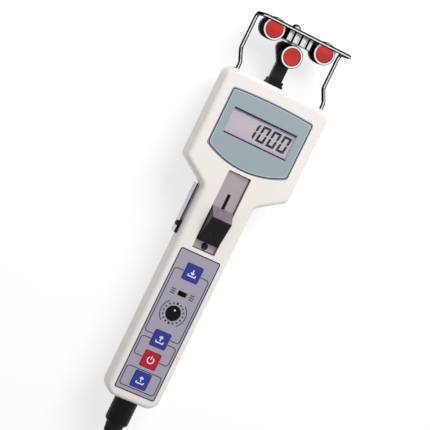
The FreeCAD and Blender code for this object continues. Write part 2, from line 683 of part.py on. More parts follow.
def make_front_shell():
    """Front half: a hollow block with rounded edges, posts and openings."""
    outer = housing_block("front_block", "0", "parting_height", "housing_depth - parting_height", "0")
    face = size("housing_depth")
    round_edges(outer, "front_edge_round", "front_edge", lambda edge: at_level(edge, face))
    core = housing_block("front_core", "wall", "parting_height",
                         "housing_depth - parting_height - front_wall", "wall")
    posts = screw_rods("_front_post", "parting_height", "screw_post_front",
                       INNER_FRONT + " - parting_height + weld")
    for name, y in (("near", END + " + board_from_end + board_post_end"),
                    ("far", END + " + board_from_end + board_length - board_post_end")):
        posts += mirrored_x(lambda side, x, y=y: rod(side, "z", (x, y, "board_top"), "board_post",
                                                     INNER_FRONT + " - board_top + weld"),
                            name + "_board_post", "board_width / 2 - board_post_side")
    posts += mirrored_x(lambda side, x: rod(
        side, "z", (x, SPRING_FOOT + " - spring_post", "spring_height - spring_post_reach"), "spring_post",
        INNER_FRONT + " - spring_height + spring_post_reach + weld"), "spring_post", "spring_offset")
    whole = fuse("front_whole", cut("front_hollow", outer, core), *posts)
    through = "front_wall + 2 * past"
    below = INNER_FRONT + " - past"
    holes = [panel_blank("panel_recess", "fit_gap / 2", "housing_depth + panel_proud - panel_thick",
                         "panel_thick + past")]
    holes.append(centred_box("display_hole", "0", "head_reach - window_from_top", below,
                             "window_width + 2 * glass_margin", "window_height + 2 * glass_margin", through))
    holes.append(rounded_box("track_hole", "0", TRACK_END + " + track_length / 2", below, "track_width",
                             "track_length", through, "track_corner"))
    holes.append(rounded_box("keypad_recess", "0", KEYPAD_Y, "housing_depth - keypad_thick",
                             "keypad_width + fit_gap", "keypad_length + fit_gap", "keypad_thick + past",
                             "keypad_corner"))
    holes += control_holes("shell", below, through, "fit_gap")
    holes += mirrored_x(lambda side, x: rod(side, "y", (x, "head_reach - wall - past", "leg_height"),
                                            "bail_bush_radius", "wall + 2 * past"),
                        "leg_hole", "bail_span / 2")
    holes.append(rod("socket_hole", "y", ("0", END + " - past", "socket_height"), "socket_radius",
                     "wall + 2 * past"))
    holes += screw_rods("_thread_hole", "parting_height - past", "screw_radius",
                        "screw_end - parting_height + 2 * past")
    holes.append(rod("clip_hole", "x", ("-handle_width / 2 - past", CLIP_SCREW_Y, CLIP_SCREW_Z),
                     "clip_screw_radius", "wall + 2 * past"))
    node(cut("front_shell_cut", whole, *holes), "front_shell")


def make_rear_shell():
    """Rear half: a tapered hollow block with screw posts, a battery bay and a door recess."""
    outer = housing_block("rear_block", "seam_step", "parting_height", "parting_height", "0",
                          "-rear_taper", True)
    round_edges(outer, "rear_edge_round", "rear_edge", lambda edge: at_level(edge, 0))
    core = housing_block("rear_core", "seam_step + wall", "parting_height", "parting_height - floor_wall",
                         "rear_edge", "-rear_taper", True)
    posts = screw_rods("_rear_post", "0", "screw_post", "parting_height")
    posts += mirrored_x(lambda side, x: rod(side, "z", (x, CELL_FOOT_Y, "0"), "cell_post_radius", CELL_BACK),
                        "cell_post", "cell_screw_pitch / 2")
    posts.append(rod("insert_boss", "z", ("0", "0", "0"), "insert_radius + insert_wall",
                     "insert_length + insert_wall"))
    for name, y in (("near", BATTERY_START + " - contact_thick - bay_rib"),
                    ("far", BATTERY_END + " + contact_thick")):
        posts.append(box(name + "_bay_rib", ("-bay_width / 2", y, "floor_wall - weld"),
                         ("bay_width", "bay_rib", "contact_low + contact_rise - floor_wall + weld")))
    whole = common("rear_whole", fuse("rear_posts", cut("rear_hollow", outer, core), *posts), outer)
    holes = screw_rods("_head_hole", "-past", "screw_head + fit_gap", "screw_sunk + past")
    holes += screw_rods("_shank_hole", "0", "screw_radius + fit_gap", "parting_height + past")
    holes.append(rod("insert_hole", "z", ("0", "0", "-past"), "insert_radius", "insert_length + past"))
    holes.append(rod("post_hole", "y", ("0", POST_BUSH_Y, "post_height"), "post_bush_radius",
                     "2 * post_bush_length"))
    holes.append(centred_box("gland_hole", "0", "head_reach", "gland_back", "gland_width",
                             "4 * gland_inside", "gland_front - gland_back"))
    thread_low = CELL_BACK + " - cell_screw_bite - past"
    holes += mirrored_x(lambda side, x: rod(side, "z", (x, CELL_FOOT_Y, thread_low), "cell_screw_radius",
                                            "cell_screw_bite + 2 * past"),
                        "cell_thread", "cell_screw_pitch / 2")
    reach = "(door_length + door_runout)"
    holes.append(box("door_recess", ("-door_width / 2 - fit_gap", BATTERY_END + " - " + reach, "-past"),
                     ("door_width + 2 * fit_gap", reach + " + fit_gap",
                      "past + door_sunk + door_thick + fit_gap")))
    holes.append(box("tongue_recess", ("-door_width / 2 - door_tongue - fit_gap", BATTERY_END + " - " + reach,
                                       "door_sunk + door_thick - door_tongue_thick - fit_gap"),
                     ("door_width + 2 * door_tongue + 2 * fit_gap", reach + " + fit_gap",
                      "door_tongue_thick + 2 * fit_gap")))
    holes.append(box("battery_hole", ("-bay_mouth / 2", BATTERY_START + " + past", "0"),
                     ("bay_mouth", "battery_length * %d - 2 * past" % BATTERY_COUNT, "floor_wall + past")))
    node(cut("rear_shell_cut", whole, *holes), "rear_shell")
    return outer


def make_display():
    """Panel with a bevelled rim, clear window and display module."""
    blank = panel_blank("panel_body", "0", "housing_depth + panel_proud - panel_thick", "panel_thick")
    doc.recompute()
    face = size("housing_depth") + size("panel_proud")
    width = size("panel_bevel")
    bevel = doc.addObject("Part::Chamfer", "panel_bevelled")
    bevel.Base = blank
    bevel.Edges = [(i + 1, width, width) for i, edge in enumerate(blank.Shape.Edges) if at_level(edge, face)]
    middle = "head_reach - window_from_top"
    hole = centred_box("window_hole", "0", middle, "housing_depth - panel_thick - past", "window_width",
                       "window_height", "panel_thick + panel_proud + 2 * past")
    node(cut("panel_cut", bevel, hole), "display_panel")
    pane_top = "(housing_depth + panel_proud - window_sunk)"
    node(centred_box("display_pane", "0", middle, pane_top + " - window_thick", "window_width - window_play",
                     "window_height - window_play", "window_thick"), "display_window")
    module = centred_box("lcd_block", "0", middle, INNER_FRONT + " - lcd_thick", "lcd_width", "lcd_height",
                         "lcd_thick")
    glass = centred_box("lcd_glass", "0", middle, INNER_FRONT + " - weld", "window_width + glass_margin",
                        "window_height + glass_margin", "glass_thick + weld")
    node(fuse("lcd_whole", module, glass), "lcd_module")


def make_slide_plate():
    """Plate under the slide opening, its slot and its screw."""
    width = "(track_width + 2 * plate_lap)"
    plate = box("plate_blank",
                ("-%s / 2" % width, TRACK_END + " - plate_end_lap", INNER_FRONT + " - plate_thick"),
                (width, "track_length + 2 * plate_end_lap", "plate_thick"))
    below = INNER_FRONT + " - plate_thick - past"
    slot = box("plate_slot", ("-slot_width / 2", STEM_LOW + " - fit_gap", below),
               ("slot_width", "stem_length + slide_travel + 2 * fit_gap", "plate_thick + 2 * past"))
    screw_y = TRACK_END + " + plate_screw_inset"
    hole = rod("plate_screw_hole", "z", ("0", screw_y, below), "plate_screw_radius", "plate_thick + 2 * past")
    node(cut("plate_cut", plate, slot, hole), "slide_plate")
    screw = turned("plate_screw_body", "XZ_Plane",
                   [("0", "-plate_thick - past"), ("plate_screw_radius", "-plate_thick - past"),
                    ("plate_screw_radius", "0"), ("plate_screw_head", "0"),
                    ("plate_screw_head", "plate_screw_rise / 2"),
                    ("plate_screw_head - plate_screw_rise / 2", "plate_screw_rise"),
                    ("0", "plate_screw_rise")])
    drive = box("plate_screw_drive", ("-plate_screw_head", "-drive_slot / 2", "plate_screw_rise / 2"),
                ("2 * plate_screw_head", "drive_slot", "plate_screw_rise"))
    piece = cut("plate_screw_cut", screw, drive)
    place(piece, "0", screw_y, INNER_FRONT)
    node(piece, "slide_plate_screw")


def make_thumb_slide():
    """Grooved wedge with drafted sides and the stem that goes through the slot."""
    wedge = padded("slide_wedge", "YZ_Plane", [
        (SLIDE_FRONT, SLIDE_BASE), (SLIDE_FRONT, SLIDE_BASE + " + slide_nose"),
        (SLIDE_FRONT + " - crest_back", SLIDE_BASE + " + crest_height"),
        (SLIDE_FRONT + " - slide_length", SLIDE_BASE + " + slide_tail"),
        (SLIDE_FRONT + " - slide_length", SLIDE_BASE)], "slide_width", "0", True)
    envelope = padded("slide_envelope", "XZ_Plane", [
        ("-slide_width / 2", SLIDE_BASE), ("slide_width / 2", SLIDE_BASE),
        ("slide_width / 2 - slide_draft", SLIDE_BASE + " + crest_height"),
        ("-slide_width / 2 + slide_draft", SLIDE_BASE + " + crest_height")], "3 * slide_length", "0", True)
    place(envelope, "0", SLIDE_FRONT)
    cutter = padded("rib_cutter", "YZ_Plane", [
        ("0", "-rib_deep"), ("rib_pitch / 2", "-rib_deep"), ("rib_pitch / 2", "past"), ("0", "past")],
        "slide_width + 2 * past", "0", True)
    slope = "((crest_height - slide_tail) / (slide_length - crest_back))"
    lean = math.degrees(math.atan2(size("crest_height") - size("slide_tail"),
                                   size("slide_length") - size("crest_back")))
    grooves = []
    for i in range(RIB_COUNT):
        along = "(rib_start + rib_pitch * %d)" % i
        groove = group("rib_groove_%d" % i, cutter)
        groove.Placement = FreeCAD.Placement(Vector(), FreeCAD.Rotation(Vector(1, 0, 0), lean))
        place(groove, "0", "%s - crest_back - %s" % (SLIDE_FRONT, along),
              "%s + crest_height - %s * %s" % (SLIDE_BASE, along, slope))
        grooves.append(groove)
    ribbed = cut("slide_ribbed", common("slide_drafted", wedge, envelope), *grooves)
    stem = box("slide_stem", ("-stem_width / 2", STEM_LOW, "yoke_height"),
               ("stem_width", "stem_length", SLIDE_BASE + " - yoke_height + weld"))
    node(fuse("slide_whole", ribbed, stem), "thumb_slide")


def make_yoke():
    """Plate that joins the slide's stem, the two wire legs and the guide post."""
    bar_width = "(bail_span + clamp_width)"
    bar_low = YOKE_TOP_Y + " - yoke_bar"
    bar = box("yoke_cross", ("-%s / 2" % bar_width, bar_low, YOKE_UNDER),
              (bar_width, "yoke_bar", "yoke_thick"))
    tongue_low = "(%s - tongue_extra)" % STEM_LOW
    tongue = box("yoke_tongue", ("-tongue_width / 2", tongue_low, YOKE_UNDER),
                 ("tongue_width", YOKE_TOP_Y + " - " + tongue_low, "yoke_thick"))
    foot = "(post_height - post_radius - bracket_wall)"
    bracket = box("yoke_bracket", ("-bracket_width / 2", bar_low, foot),
                  ("bracket_width", "bracket_length", YOKE_UNDER + " - " + foot + " + weld"))
    clamps = mirrored_x(lambda side, x: box(side, (x + " - clamp_width / 2", bar_low, YOKE_UNDER),
                                            ("clamp_width", "yoke_bar", "yoke_thick + clamp_rise")),
                        "leg_clamp", "bail_span / 2")
    ear_foot = "(spring_height - spring_radius)"
    ears = mirrored_x(lambda side, x: box(side, (x + " - ear_width / 2", bar_low, ear_foot),
                                          ("ear_width", "yoke_thick",
                                           "%s - %s + weld" % (YOKE_UNDER, ear_foot))),
                      "spring_ear", "spring_offset")
    holes = mirrored_x(lambda side, x: rod(side, "y", (x, bar_low + " - past", "leg_height"), "wire_radius",
                                           "yoke_bar + 2 * past"), "clamp_hole", "bail_span / 2")
    holes.append(rod("bracket_hole", "y", ("0", bar_low + " - past", "post_height"), "post_radius",
                     "bracket_length + 2 * past"))
    node(cut("yoke_cut", fuse("yoke_whole", bar, tongue, bracket, *clamps, *ears), *holes), "carriage_yoke")


def make_bail():
    """Wire bow: two joggled legs, a run forward on each side and the bar across the front."""
    half = size("head_width") / 2 - size("bail_side")
    top = size("head_reach")
    leg, bow, front = size("leg_height"), size("bow_height"), size("crossbar_height")
    foot = top - size("yoke_from_top") - size("yoke_bar")
    start = top + size("joggle_rise")
    stop = start + size("joggle_length")
    high = top + size("crossbar_rise")
    side = [(half, foot, leg), (half, start, leg), (half, stop, bow), (half, high, bow), (half, high, front)]
    points = side + [(-x, y, z) for x, y, z in reversed(side)]
    joggle, bend = size("joggle_bend"), size("wire_bend")
    radii = [joggle, joggle, bend, bend, bend, bend, joggle, joggle]
    node(shape_object("bail_wire", tube(wire_path(points, radii), size("wire_radius"))), "bail")
    bushes = []
    for label, x in (("right_bail_bush", "bail_span / 2"), ("left_bail_bush", "-bail_span / 2")):
        start_y = "head_reach - bail_bush_length"
        sleeve = rod(label + "_sleeve", "y", (x, start_y, "leg_height"), "bail_bush_radius",
                     "bail_bush_length")
        bore = rod(label + "_bore", "y", (x, start_y + " - past", "leg_height"), "wire_radius + run_gap",
                   "bail_bush_length + 2 * past")
        bushes.append(cut(label, sleeve, bore))
    node(group("bush_pair", *bushes), "bail_bushes")


def make_guide_post():
    """Round post behind the arm, its bush in the head and the domed nut on its end."""
    foot = "(%s - yoke_bar)" % YOKE_TOP_Y
    tip = "(%s + bridge_bar)" % BRIDGE_LOW
    node(rod("post_rod", "y", ("0", foot, "post_height"), "post_radius", tip + " - " + foot), "guide_post")
    sleeve = rod("post_bush_sleeve", "y", ("0", POST_BUSH_Y, "post_height"), "post_bush_radius",
                 "post_bush_length")
    bore = rod("post_bush_bore", "y", ("0", POST_BUSH_Y + " - past", "post_height"), "post_radius + run_gap",
               "post_bush_length + 2 * past")
    node(cut("post_bush_cut", sleeve, bore), "post_bush")
    nut = turned("nut_body", "XY_Plane",
                 [("0", "0"), ("nut_radius", "0"), ("nut_radius", "nut_length"), ("0", "nut_length")],
                 ("0", tip, "post_height"))
    crown = size("nut_length")
    round_edges(nut, "nut_dome", "nut_radius - past / 4", lambda edge: edge.BoundBox.YLength < 0.01
                and edge.BoundBox.XLength > size("nut_radius") and abs(edge.BoundBox.YMin - crown) < 0.01)
    node(nut, "cap_nut")


def make_bridge():
    """Plate behind the outer rollers, its hub on the post, the axles and the polished block."""
    lobes = mirrored_x(lambda side, x: rod(side, "z", (x, OUTER_Y, BRIDGE_BACK), "bridge_lobe",
                                           "bridge_thick"), "lobe", "roller_pitch / 2")
    bar = box("bridge_bar_block", ("-roller_pitch / 2", BRIDGE_LOW, BRIDGE_BACK),
              ("roller_pitch", "bridge_bar", "bridge_thick"))
    hub_back = "(post_height - post_radius - hub_wall)"
    hub = box("bridge_hub", ("-hub_width / 2", BRIDGE_LOW, hub_back),
              ("hub_width", "bridge_bar", BRIDGE_FRONT + " - " + hub_back))
    hole = rod("bridge_hole", "y", ("0", BRIDGE_LOW + " - past", "post_height"), "post_radius",
               "bridge_bar + 2 * past")
    node(cut("bridge_cut", fuse("bridge_whole", bar, hub, *lobes), hole), "roller_bridge")
    middle = BRIDGE_LOW + " + block_height / 2"
    block = centred_box("block_blank", "0", middle, BRIDGE_FRONT, "block_width", "block_height", "block_deep")
    channels = [centred_box("block_channel_%d" % i, "block_groove_pitch * %d" % (i - 1), middle,
                            BRIDGE_FRONT + " + block_deep - block_groove_deep", "block_groove",
                            "block_height + 2 * past", "block_groove_deep + past") for i in range(3)]
    node(cut("block_cut", block, *channels), "guide_block")


def axle_profile(seat):
    """Axle from its seat level: collar up to the bearing, the journal and a flat head."""
    collar_end = "roller_back + bearing_inset - fit_gap - (%s)" % seat
    head_start = "roller_back + bearing_inset + bearing_width + fit_gap - (%s)" % seat
    return [("0", "0"), ("axle_collar", "0"), ("axle_collar", collar_end), ("axle_radius", collar_end),
            ("axle_radius", head_start), ("axle_collar", head_start),
            ("axle_collar", head_start + " + axle_head"), ("0", head_start + " + axle_head")]


def make_rollers():
    """Three grooved rollers, each with its bearing and cap, and their axles."""
    groove_low = "(roller_width / 2 - groove_flat / 2)"
    groove_high = "(roller_width / 2 + groove_flat / 2)"
    depth = "(roller_radius - groove_radius)"
    cap_foot = "roller_width - cap_thick"
    cap_top = "roller_width - cap_sunk"
    profile = [("bearing_radius", "0"), ("roller_radius - flange_lip", "0"), ("roller_radius", "flange_lip"),
               ("roller_radius", groove_low + " - " + depth), ("groove_radius", groove_low),
               ("groove_radius", groove_high), ("roller_radius", groove_high + " + " + depth),
               ("roller_radius", "roller_width - flange_lip"), ("roller_radius - flange_lip", "roller_width"),
               ("cap_radius", "roller_width"), ("cap_radius", cap_foot), ("bearing_radius", cap_foot)]
    cap = [("0", cap_foot), ("cap_radius", cap_foot), ("cap_radius", cap_top + " - cap_bevel"),
           ("cap_radius - cap_bevel", cap_top), ("0", cap_top)]
    bearing = [("axle_radius + run_gap", "bearing_inset"), ("bearing_radius", "bearing_inset"),
               ("bearing_radius", "bearing_inset + bearing_width"),
               ("axle_radius + run_gap", "bearing_inset + bearing_width")]
    for side, x, y in (("left", "-roller_pitch / 2", OUTER_Y), ("right", "roller_pitch / 2", OUTER_Y),
                       ("middle", "0", MIDDLE_Y)):
        at = (x, y, "roller_back")
        node(turned(side + "_roller_body", "XZ_Plane", profile, at), side + "_roller")
        node(turned(side + "_cap_body", "XZ_Plane", cap, at), side + "_roller_cap")
        node(turned(side + "_bearing_body", "XZ_Plane", bearing, at), side + "_bearing")
    axles = [turned(side + "_axle", "XZ_Plane", axle_profile(BRIDGE_FRONT), (x, OUTER_Y, BRIDGE_FRONT))
             for side, x in (("left", "-roller_pitch / 2"), ("right", "roller_pitch / 2"))]
    node(group("axle_pair", *axles), "outer_axles")
    node(turned("middle_axle_body", "XZ_Plane", axle_profile("arm_front"), ("0", MIDDLE_Y, "arm_front")),
         "middle_axle")


def make_arm():
    """Measuring arm with its widened end, and the stepped gland that it comes out of."""
    half, head = "arm_width / 2", "arm_head_width / 2"
    right = [(half, "head_reach - arm_inside"), (half, "head_reach + arm_head_start"),
             (head, "head_reach + arm_head_side"), (head, "head_reach + arm_head_top - arm_head_bevel"),
             (head + " - arm_head_bevel", "head_reach + arm_head_top")]
    corners = right + [("-(%s)" % x, y) for x, y in reversed(right)]
    node(padded("arm_plate", "XY_Plane", corners, "arm_thick", ARM_BACK), "measuring_arm")
    deep = "gland_front - gland_back"
    body = centred_box("gland_body", "0", "head_reach + (gland_rise - gland_inside) / 2", "gland_back",
                       "gland_width", "gland_inside + gland_rise", deep)
    flange = centred_box("gland_flange_block", "0", "head_reach + gland_flange / 2", "gland_back",
                         "gland_width + 2 * gland_step", "gland_flange", deep + " + gland_step")
    slot = centred_box("gland_slot", "0", "head_reach", ARM_BACK + " - fit_gap", "arm_width + 2 * fit_gap",
                       "4 * gland_inside", "arm_thick + 2 * fit_gap")
    node(cut("gland_cut", fuse("gland_whole", body, flange), slot), "arm_gland")


def make_load_cell():
    """Bending beam with a foot, two screws and the cut-outs that let it bend."""
    beam = box("cell_beam", ("-cell_width / 2", CELL_TOP_Y + " - cell_length", CELL_BACK),
               ("cell_width", "cell_length", "cell_thick"))
    foot = centred_box("cell_foot", "0", CELL_FOOT_Y, CELL_BACK, "cell_foot_width", "cell_foot_length",
                       "cell_foot_thick")
    level = CELL_BACK + " + cell_thick / 2"
    eyes = [rod(eye + "_hole", "x", ("-cell_width", CELL_TOP_Y + " - " + eye, level), "cell_eye",
                "2 * cell_width") for eye in ("cell_eye_near", "cell_eye_far")]
    holes = mirrored_x(lambda side, x: rod(side, "z", (x, CELL_FOOT_Y, CELL_BACK + " - past"),
                                           "cell_screw_radius + fit_gap", "cell_foot_thick + 2 * past"),
                       "foot_hole", "cell_screw_pitch / 2")
    node(cut("cell_cut", fuse("cell_whole", beam, foot), *eyes, *holes), "load_cell")
    bottom = "-cell_foot_thick - cell_screw_bite"
    profile = [("0", bottom), ("cell_screw_radius", bottom), ("cell_screw_radius", "0"),
               ("cell_screw_head", "0"), ("cell_screw_head", "cell_screw_rise"), ("0", "cell_screw_rise")]
    screws = [turned(label, "XZ_Plane", profile, (x, CELL_FOOT_Y, CELL_BACK + " + cell_foot_thick"))
              for label, x in (("right_cell_screw", "cell_screw_pitch / 2"),
                               ("left_cell_screw", "-cell_screw_pitch / 2"))]
    node(group("cell_screw_pair", *screws), "load_cell_screws")


def make_springs():
    """Two coil springs between the yoke's ears and the posts of the front shell."""
    wire, mean, length = size("spring_wire"), size("spring_radius"), size("spring_length")
    helix = Part.makeHelix((length - 2 * wire) / SPRING_TURNS, length - 2 * wire, mean)
    ring = Part.Wire([Part.Circle(Vector(mean, 0, 0), Vector(0, 1, 0), wire).toShape()])
    coil = helix.makePipeShell([ring], True, True)
    springs = []
    for label, x in (("right_spring", "spring_offset"), ("left_spring", "-spring_offset")):
        spring = shape_object(label, coil)
        spring.Placement = FreeCAD.Placement(Vector(), FreeCAD.Rotation(Vector(1, 0, 0), -90))
        place(spring, x, SPRING_FOOT + " + spring_wire", "spring_height")
        springs.append(spring)
    node(group("spring_pair", *springs), "return_springs")


def make_keypad():
    """Keypad panel, keys, circuit board and key switches."""
    blank = rounded_box("keypad_blank", "0", KEYPAD_Y, "housing_depth - keypad_thick", "keypad_width",
                        "keypad_length", "keypad_thick", "keypad_corner")
    node(cut("keypad_cut", blank, *control_holes("panel", "housing_depth - keypad_thick - past",
                                                 "keypad_thick + 2 * past", "fit_gap")), "keypad_panel")
    rim_low = "(%s - fit_gap - key_rim_thick)" % INNER_FRONT
    for key, from_end in KEYS.items():
        y = END + " + " + from_end
        cap = rounded_box(key + "_cap", "0", y, rim_low, "key_width", "key_length",
                          "housing_depth + key_proud - " + rim_low, "key_corner")
        rim = centred_box(key + "_rim", "0", y, rim_low, "key_width + 2 * key_rim",
                          "key_length + 2 * key_rim", "key_rim_thick")
        node(fuse(key + "_whole", cap, rim), key)
    node(centred_box("board_blank", "0", END + " + board_from_end + board_length / 2",
                     "board_top - board_thick", "board_width", "board_length", "board_thick"), "main_board")
    switch_height = rim_low + " - key_travel - fit_gap - board_top"
    switches = [centred_box(key + "_switch", "0", END + " + " + from_end, "board_top", "tact_size",
                            "tact_size", switch_height) for key, from_end in KEYS.items()]
    node(group("switch_row", *switches), "key_switches")


def make_selector():
    """Rotary selector: body on the board, and a fluted knob with its spindle."""
    y = "(%s + knob_from_end)" % END
    body_top = "(%s - 2 * fit_gap)" % INNER_FRONT
    block = centred_box("selector_block", "0", y, "board_top", "selector_size", "selector_size",
                        body_top + " - board_top")
    bore = rod("selector_bore", "z", ("0", y, "board_top + past"), "knob_stem + run_gap", "selector_size")
    node(cut("selector_cut", block, bore), "selector_body")
    foot = "(board_top + past + fit_gap)"
    skirt = "%s + fit_gap - %s" % (body_top, foot)
    top = "housing_depth + knob_proud - %s" % foot
    knob = turned("knob_body", "XZ_Plane",
                  [("0", "0"), ("knob_stem", "0"), ("knob_stem", skirt), ("knob_radius", skirt),
                   ("knob_radius", top + " - knob_bevel"), ("knob_radius - knob_bevel", top), ("0", top)],
                  ("0", y, foot))
    flutes = []
    for i in range(KNOB_FLUTES):
        angle = 360 / KNOB_FLUTES * (i + 0.5)
        flutes.append(rod("knob_flute_%d" % i, "z", (
            "(knob_radius + knob_flute_out) * cos(%s)" % angle,
            "%s + (knob_radius + knob_flute_out) * sin(%s)" % (y, angle), "housing_depth - knob_skirt"),
            "knob_flute", "knob_skirt + knob_proud + past"))
    pointer = box("knob_pointer", ("-pointer_width / 2", y + " + knob_radius / 3",
                                   "housing_depth + knob_proud - pointer_deep"),
                  ("pointer_width", "knob_radius / 2", "pointer_deep + past"))
    node(cut("knob_cut", knob, pointer, *flutes), "selector_knob")


def make_mode_switch():
    """Small slide switch: body on the board and its lever."""
    y = "(%s + lever_from_end)" % END
    body_top = "(%s - 3 * fit_gap)" % INNER_FRONT
    block = centred_box("mode_block", "0", y, "board_top", "mode_slot_width + 2 * mode_body_margin",
                        "mode_slot_length + 2 * mode_body_margin", body_top + " - board_top")
    groove = centred_box("mode_groove_cut", "0", y, body_top + " - mode_groove",
                         "mode_slot_width + 2 * fit_gap", "lever_length + 2 * fit_gap", "mode_groove + past")
    node(cut("mode_cut", block, groove), "mode_switch_body")
    foot = "(%s - mode_groove + fit_gap)" % body_top
    node(centred_box("lever_block", "0", y, foot, "lever_width", "lever_length",
                     "housing_depth + lever_proud - " + foot), "mode_lever")


def make_power(rear_block):
    """Batteries, their contacts and the sliding door, whose end follows the rear block's slope."""
    cells = []
    for i in range(BATTERY_COUNT):
        y = "%s + battery_length * %d" % (BATTERY_START, i)
        can = rod("cell_can_%d" % i, "y", ("0", y, "battery_height"), "cell_diameter / 2",
                  "battery_length - battery_pip")
        end = y + " + battery_length - battery_pip - weld"
        pip = rod("cell_pip_%d" % i, "y", ("0", end, "battery_height"), "battery_pip_radius", "battery_pip")
        cells.append(fuse("cell_%d" % i, can, pip))
    node(group("cell_row", *cells), "batteries")
    contacts = [box("contact_%d" % i, ("-contact_width / 2", y, "contact_low"),
                    ("contact_width", "contact_thick", "contact_rise"))
                for i, y in enumerate((BATTERY_START + " - contact_thick", BATTERY_END))]
    node(group("contact_pair", *contacts), "battery_contacts")
    skin = box("door_skin", ("-door_width / 2", BATTERY_END + " - door_length", "door_sunk"),
               ("door_width", "door_length", "door_thick"))
    tongue = box("door_tongues", ("-door_width / 2 - door_tongue", BATTERY_END + " - door_length",
                                  "door_sunk + door_thick - door_tongue_thick"),
                 ("door_width + 2 * door_tongue", "door_length", "door_tongue_thick"))
    first = BATTERY_END + " - grip_start"
    grips = [box("door_grip_%d" % i, ("-grip_width / 2", "%s - grip_pitch * %d" % (first, i),
                                      "door_sunk - past"), ("grip_width", "grip_groove", "grip_deep + past"))
             for i in range(GRIP_COUNT)]
    trimmed = common("door_trimmed", fuse("door_whole", skin, tongue), rear_block)
    node(cut("door_cut", trimmed, *grips), "battery_door")


def make_rear_fittings():
    """Threaded insert and the housing screws."""
    sleeve = rod("insert_sleeve", "z", ("0", "0", "0"), "insert_radius", "insert_length")
    bore = rod("insert_thread", "z", ("0", "0", "-past"), "insert_bore", "insert_length + 2 * past")
    node(cut("insert_cut", sleeve, bore), "tripod_insert")
    tip = "screw_end - screw_sunk"
    profile = [("0", "-screw_head_rise"), ("screw_head", "-screw_head_rise"), ("screw_head", "0"),
               ("screw_radius", "0"), ("screw_radius", tip), ("0", tip)]
    screws = []
    for name, x, inset in SCREWS:
        screws += mirrored_x(lambda side, at, inset=inset: turned(
            side, "XZ_Plane", profile, (at, "head_reach - " + inset, "screw_sunk")), name + "_screw", x)
    node(group("screw_set", *screws), "housing_screws")


def make_side_clip():
    """Spring strip on the left wall, with a foot and its round-headed screw."""
    outer = "(-handle_width / 2 - clip_gap - clip_thick)"
    strip = box("clip_strip", (outer, CLIP_LOW, "clip_middle - clip_width / 2"),
                ("clip_thick", "clip_length", "clip_width"))
    foot = box("clip_foot_block", (outer, CLIP_LOW, "clip_middle - past"),
               ("clip_thick + clip_gap", "clip_foot", "clip_width / 2 + past"))
    hole = rod("clip_bore", "x", (outer + " - past", CLIP_SCREW_Y, CLIP_SCREW_Z), "clip_screw_radius",
               "clip_thick + clip_gap + 2 * past")
    node(cut("clip_cut", fuse("clip_whole", strip, foot), hole), "side_clip")
    seat = "clip_gap + clip_thick + wall"
    screw = turned("clip_screw_body", "XY_Plane",
                   [("0", "0"), ("clip_screw_radius", "0"), ("clip_screw_radius", seat),
                    ("clip_screw_head", seat), ("clip_screw_head", seat + " + clip_screw_rise / 2"),
                    ("clip_screw_head - clip_screw_rise / 2", seat + " + clip_screw_rise"),
                    ("0", seat + " + clip_screw_rise")])
    screw.Placement = FreeCAD.Placement(Vector(), FreeCAD.Rotation(Vector(0, 0, 1), 90))
    place(screw, "-handle_width / 2 + wall", CLIP_SCREW_Y, CLIP_SCREW_Z)
    node(screw, "side_clip_screw")


def make_socket_and_plug():
    """Output socket, the ribbed plug in it and the tapered strain relief."""
    barrel = rod("socket_barrel", "y", ("0", END, "socket_height"), "socket_radius", "socket_length")
    mouth = rod("socket_mouth", "y", ("0", END + " - past", "socket_height"), "socket_radius - socket_wall",
                "socket_deep + past")
    node(cut("socket_cut", barrel, mouth), "output_socket")
    profile = [("0", "spigot_length"), ("spigot_radius", "spigot_length"), ("spigot_radius", "0"),
               ("plug_radius - plug_edge", "0"), ("plug_radius", "-plug_edge")]
    for i in range(PLUG_RIBS):
        top = "-(plug_rib_start + plug_rib_pitch * %d)" % i
        profile += [("plug_radius", top), ("plug_radius - plug_rib", top + " - plug_rib"),
                    ("plug_radius - plug_rib", top + " - plug_rib_pitch / 2"),
                    ("plug_radius", top + " - plug_rib_pitch / 2 - plug_rib")]
    profile += [("plug_radius", "-plug_length + plug_shoulder"),
                ("plug_radius - plug_shoulder", "-plug_length"), ("0", "-plug_length")]
    node(turned("plug_body", "XY_Plane", profile, ("0", END, "socket_height")), "plug")
    boot = [("0", "0"), ("boot_start", "0")]
    for i in range(BOOT_RIBS):
        share = (i + 0.35) / BOOT_RIBS
        radius = "boot_start - (boot_start - boot_tip) * %s" % share
        top = "-boot_length * %s" % share
        boot += [(radius, top), (radius + " - boot_groove", top),
                 (radius + " - boot_groove", top + " - boot_groove_width"),
                 (radius + " - boot_groove / 2", top + " - boot_groove_width")]
    boot += [("boot_tip", "-boot_length"), ("0", "-boot_length")]
    start = ("0", END + " - plug_length", "socket_height")
    node(turned("boot_body", "XY_Plane", boot, start), "strain_relief")


def cord_tube(points):
    """The lead's tube: each arc is as large as its two runs allow."""
    radii = []
    for i in range(1, len(points) - 1):
        before, here, after = (Vector(*points[k]) for k in (i - 1, i, i + 1))
        turn = (here - before).getAngle(after - here)
        shorter = min((here - before).Length, (after - here).Length)
        radii.append(0.45 * shorter / math.tan(turn / 2))
    print("cord radii", [round(radius, 1) for radius in radii])
    path = wire_path(points, radii)
    solid = tube(path, size("cord_radius"))
    section = math.pi * size("cord_radius") ** 2
    ratio = solid.Volume / (section * path.Length)
    print("cord length", round(path.Length, 1), "volume ratio", round(ratio, 4))
    return solid


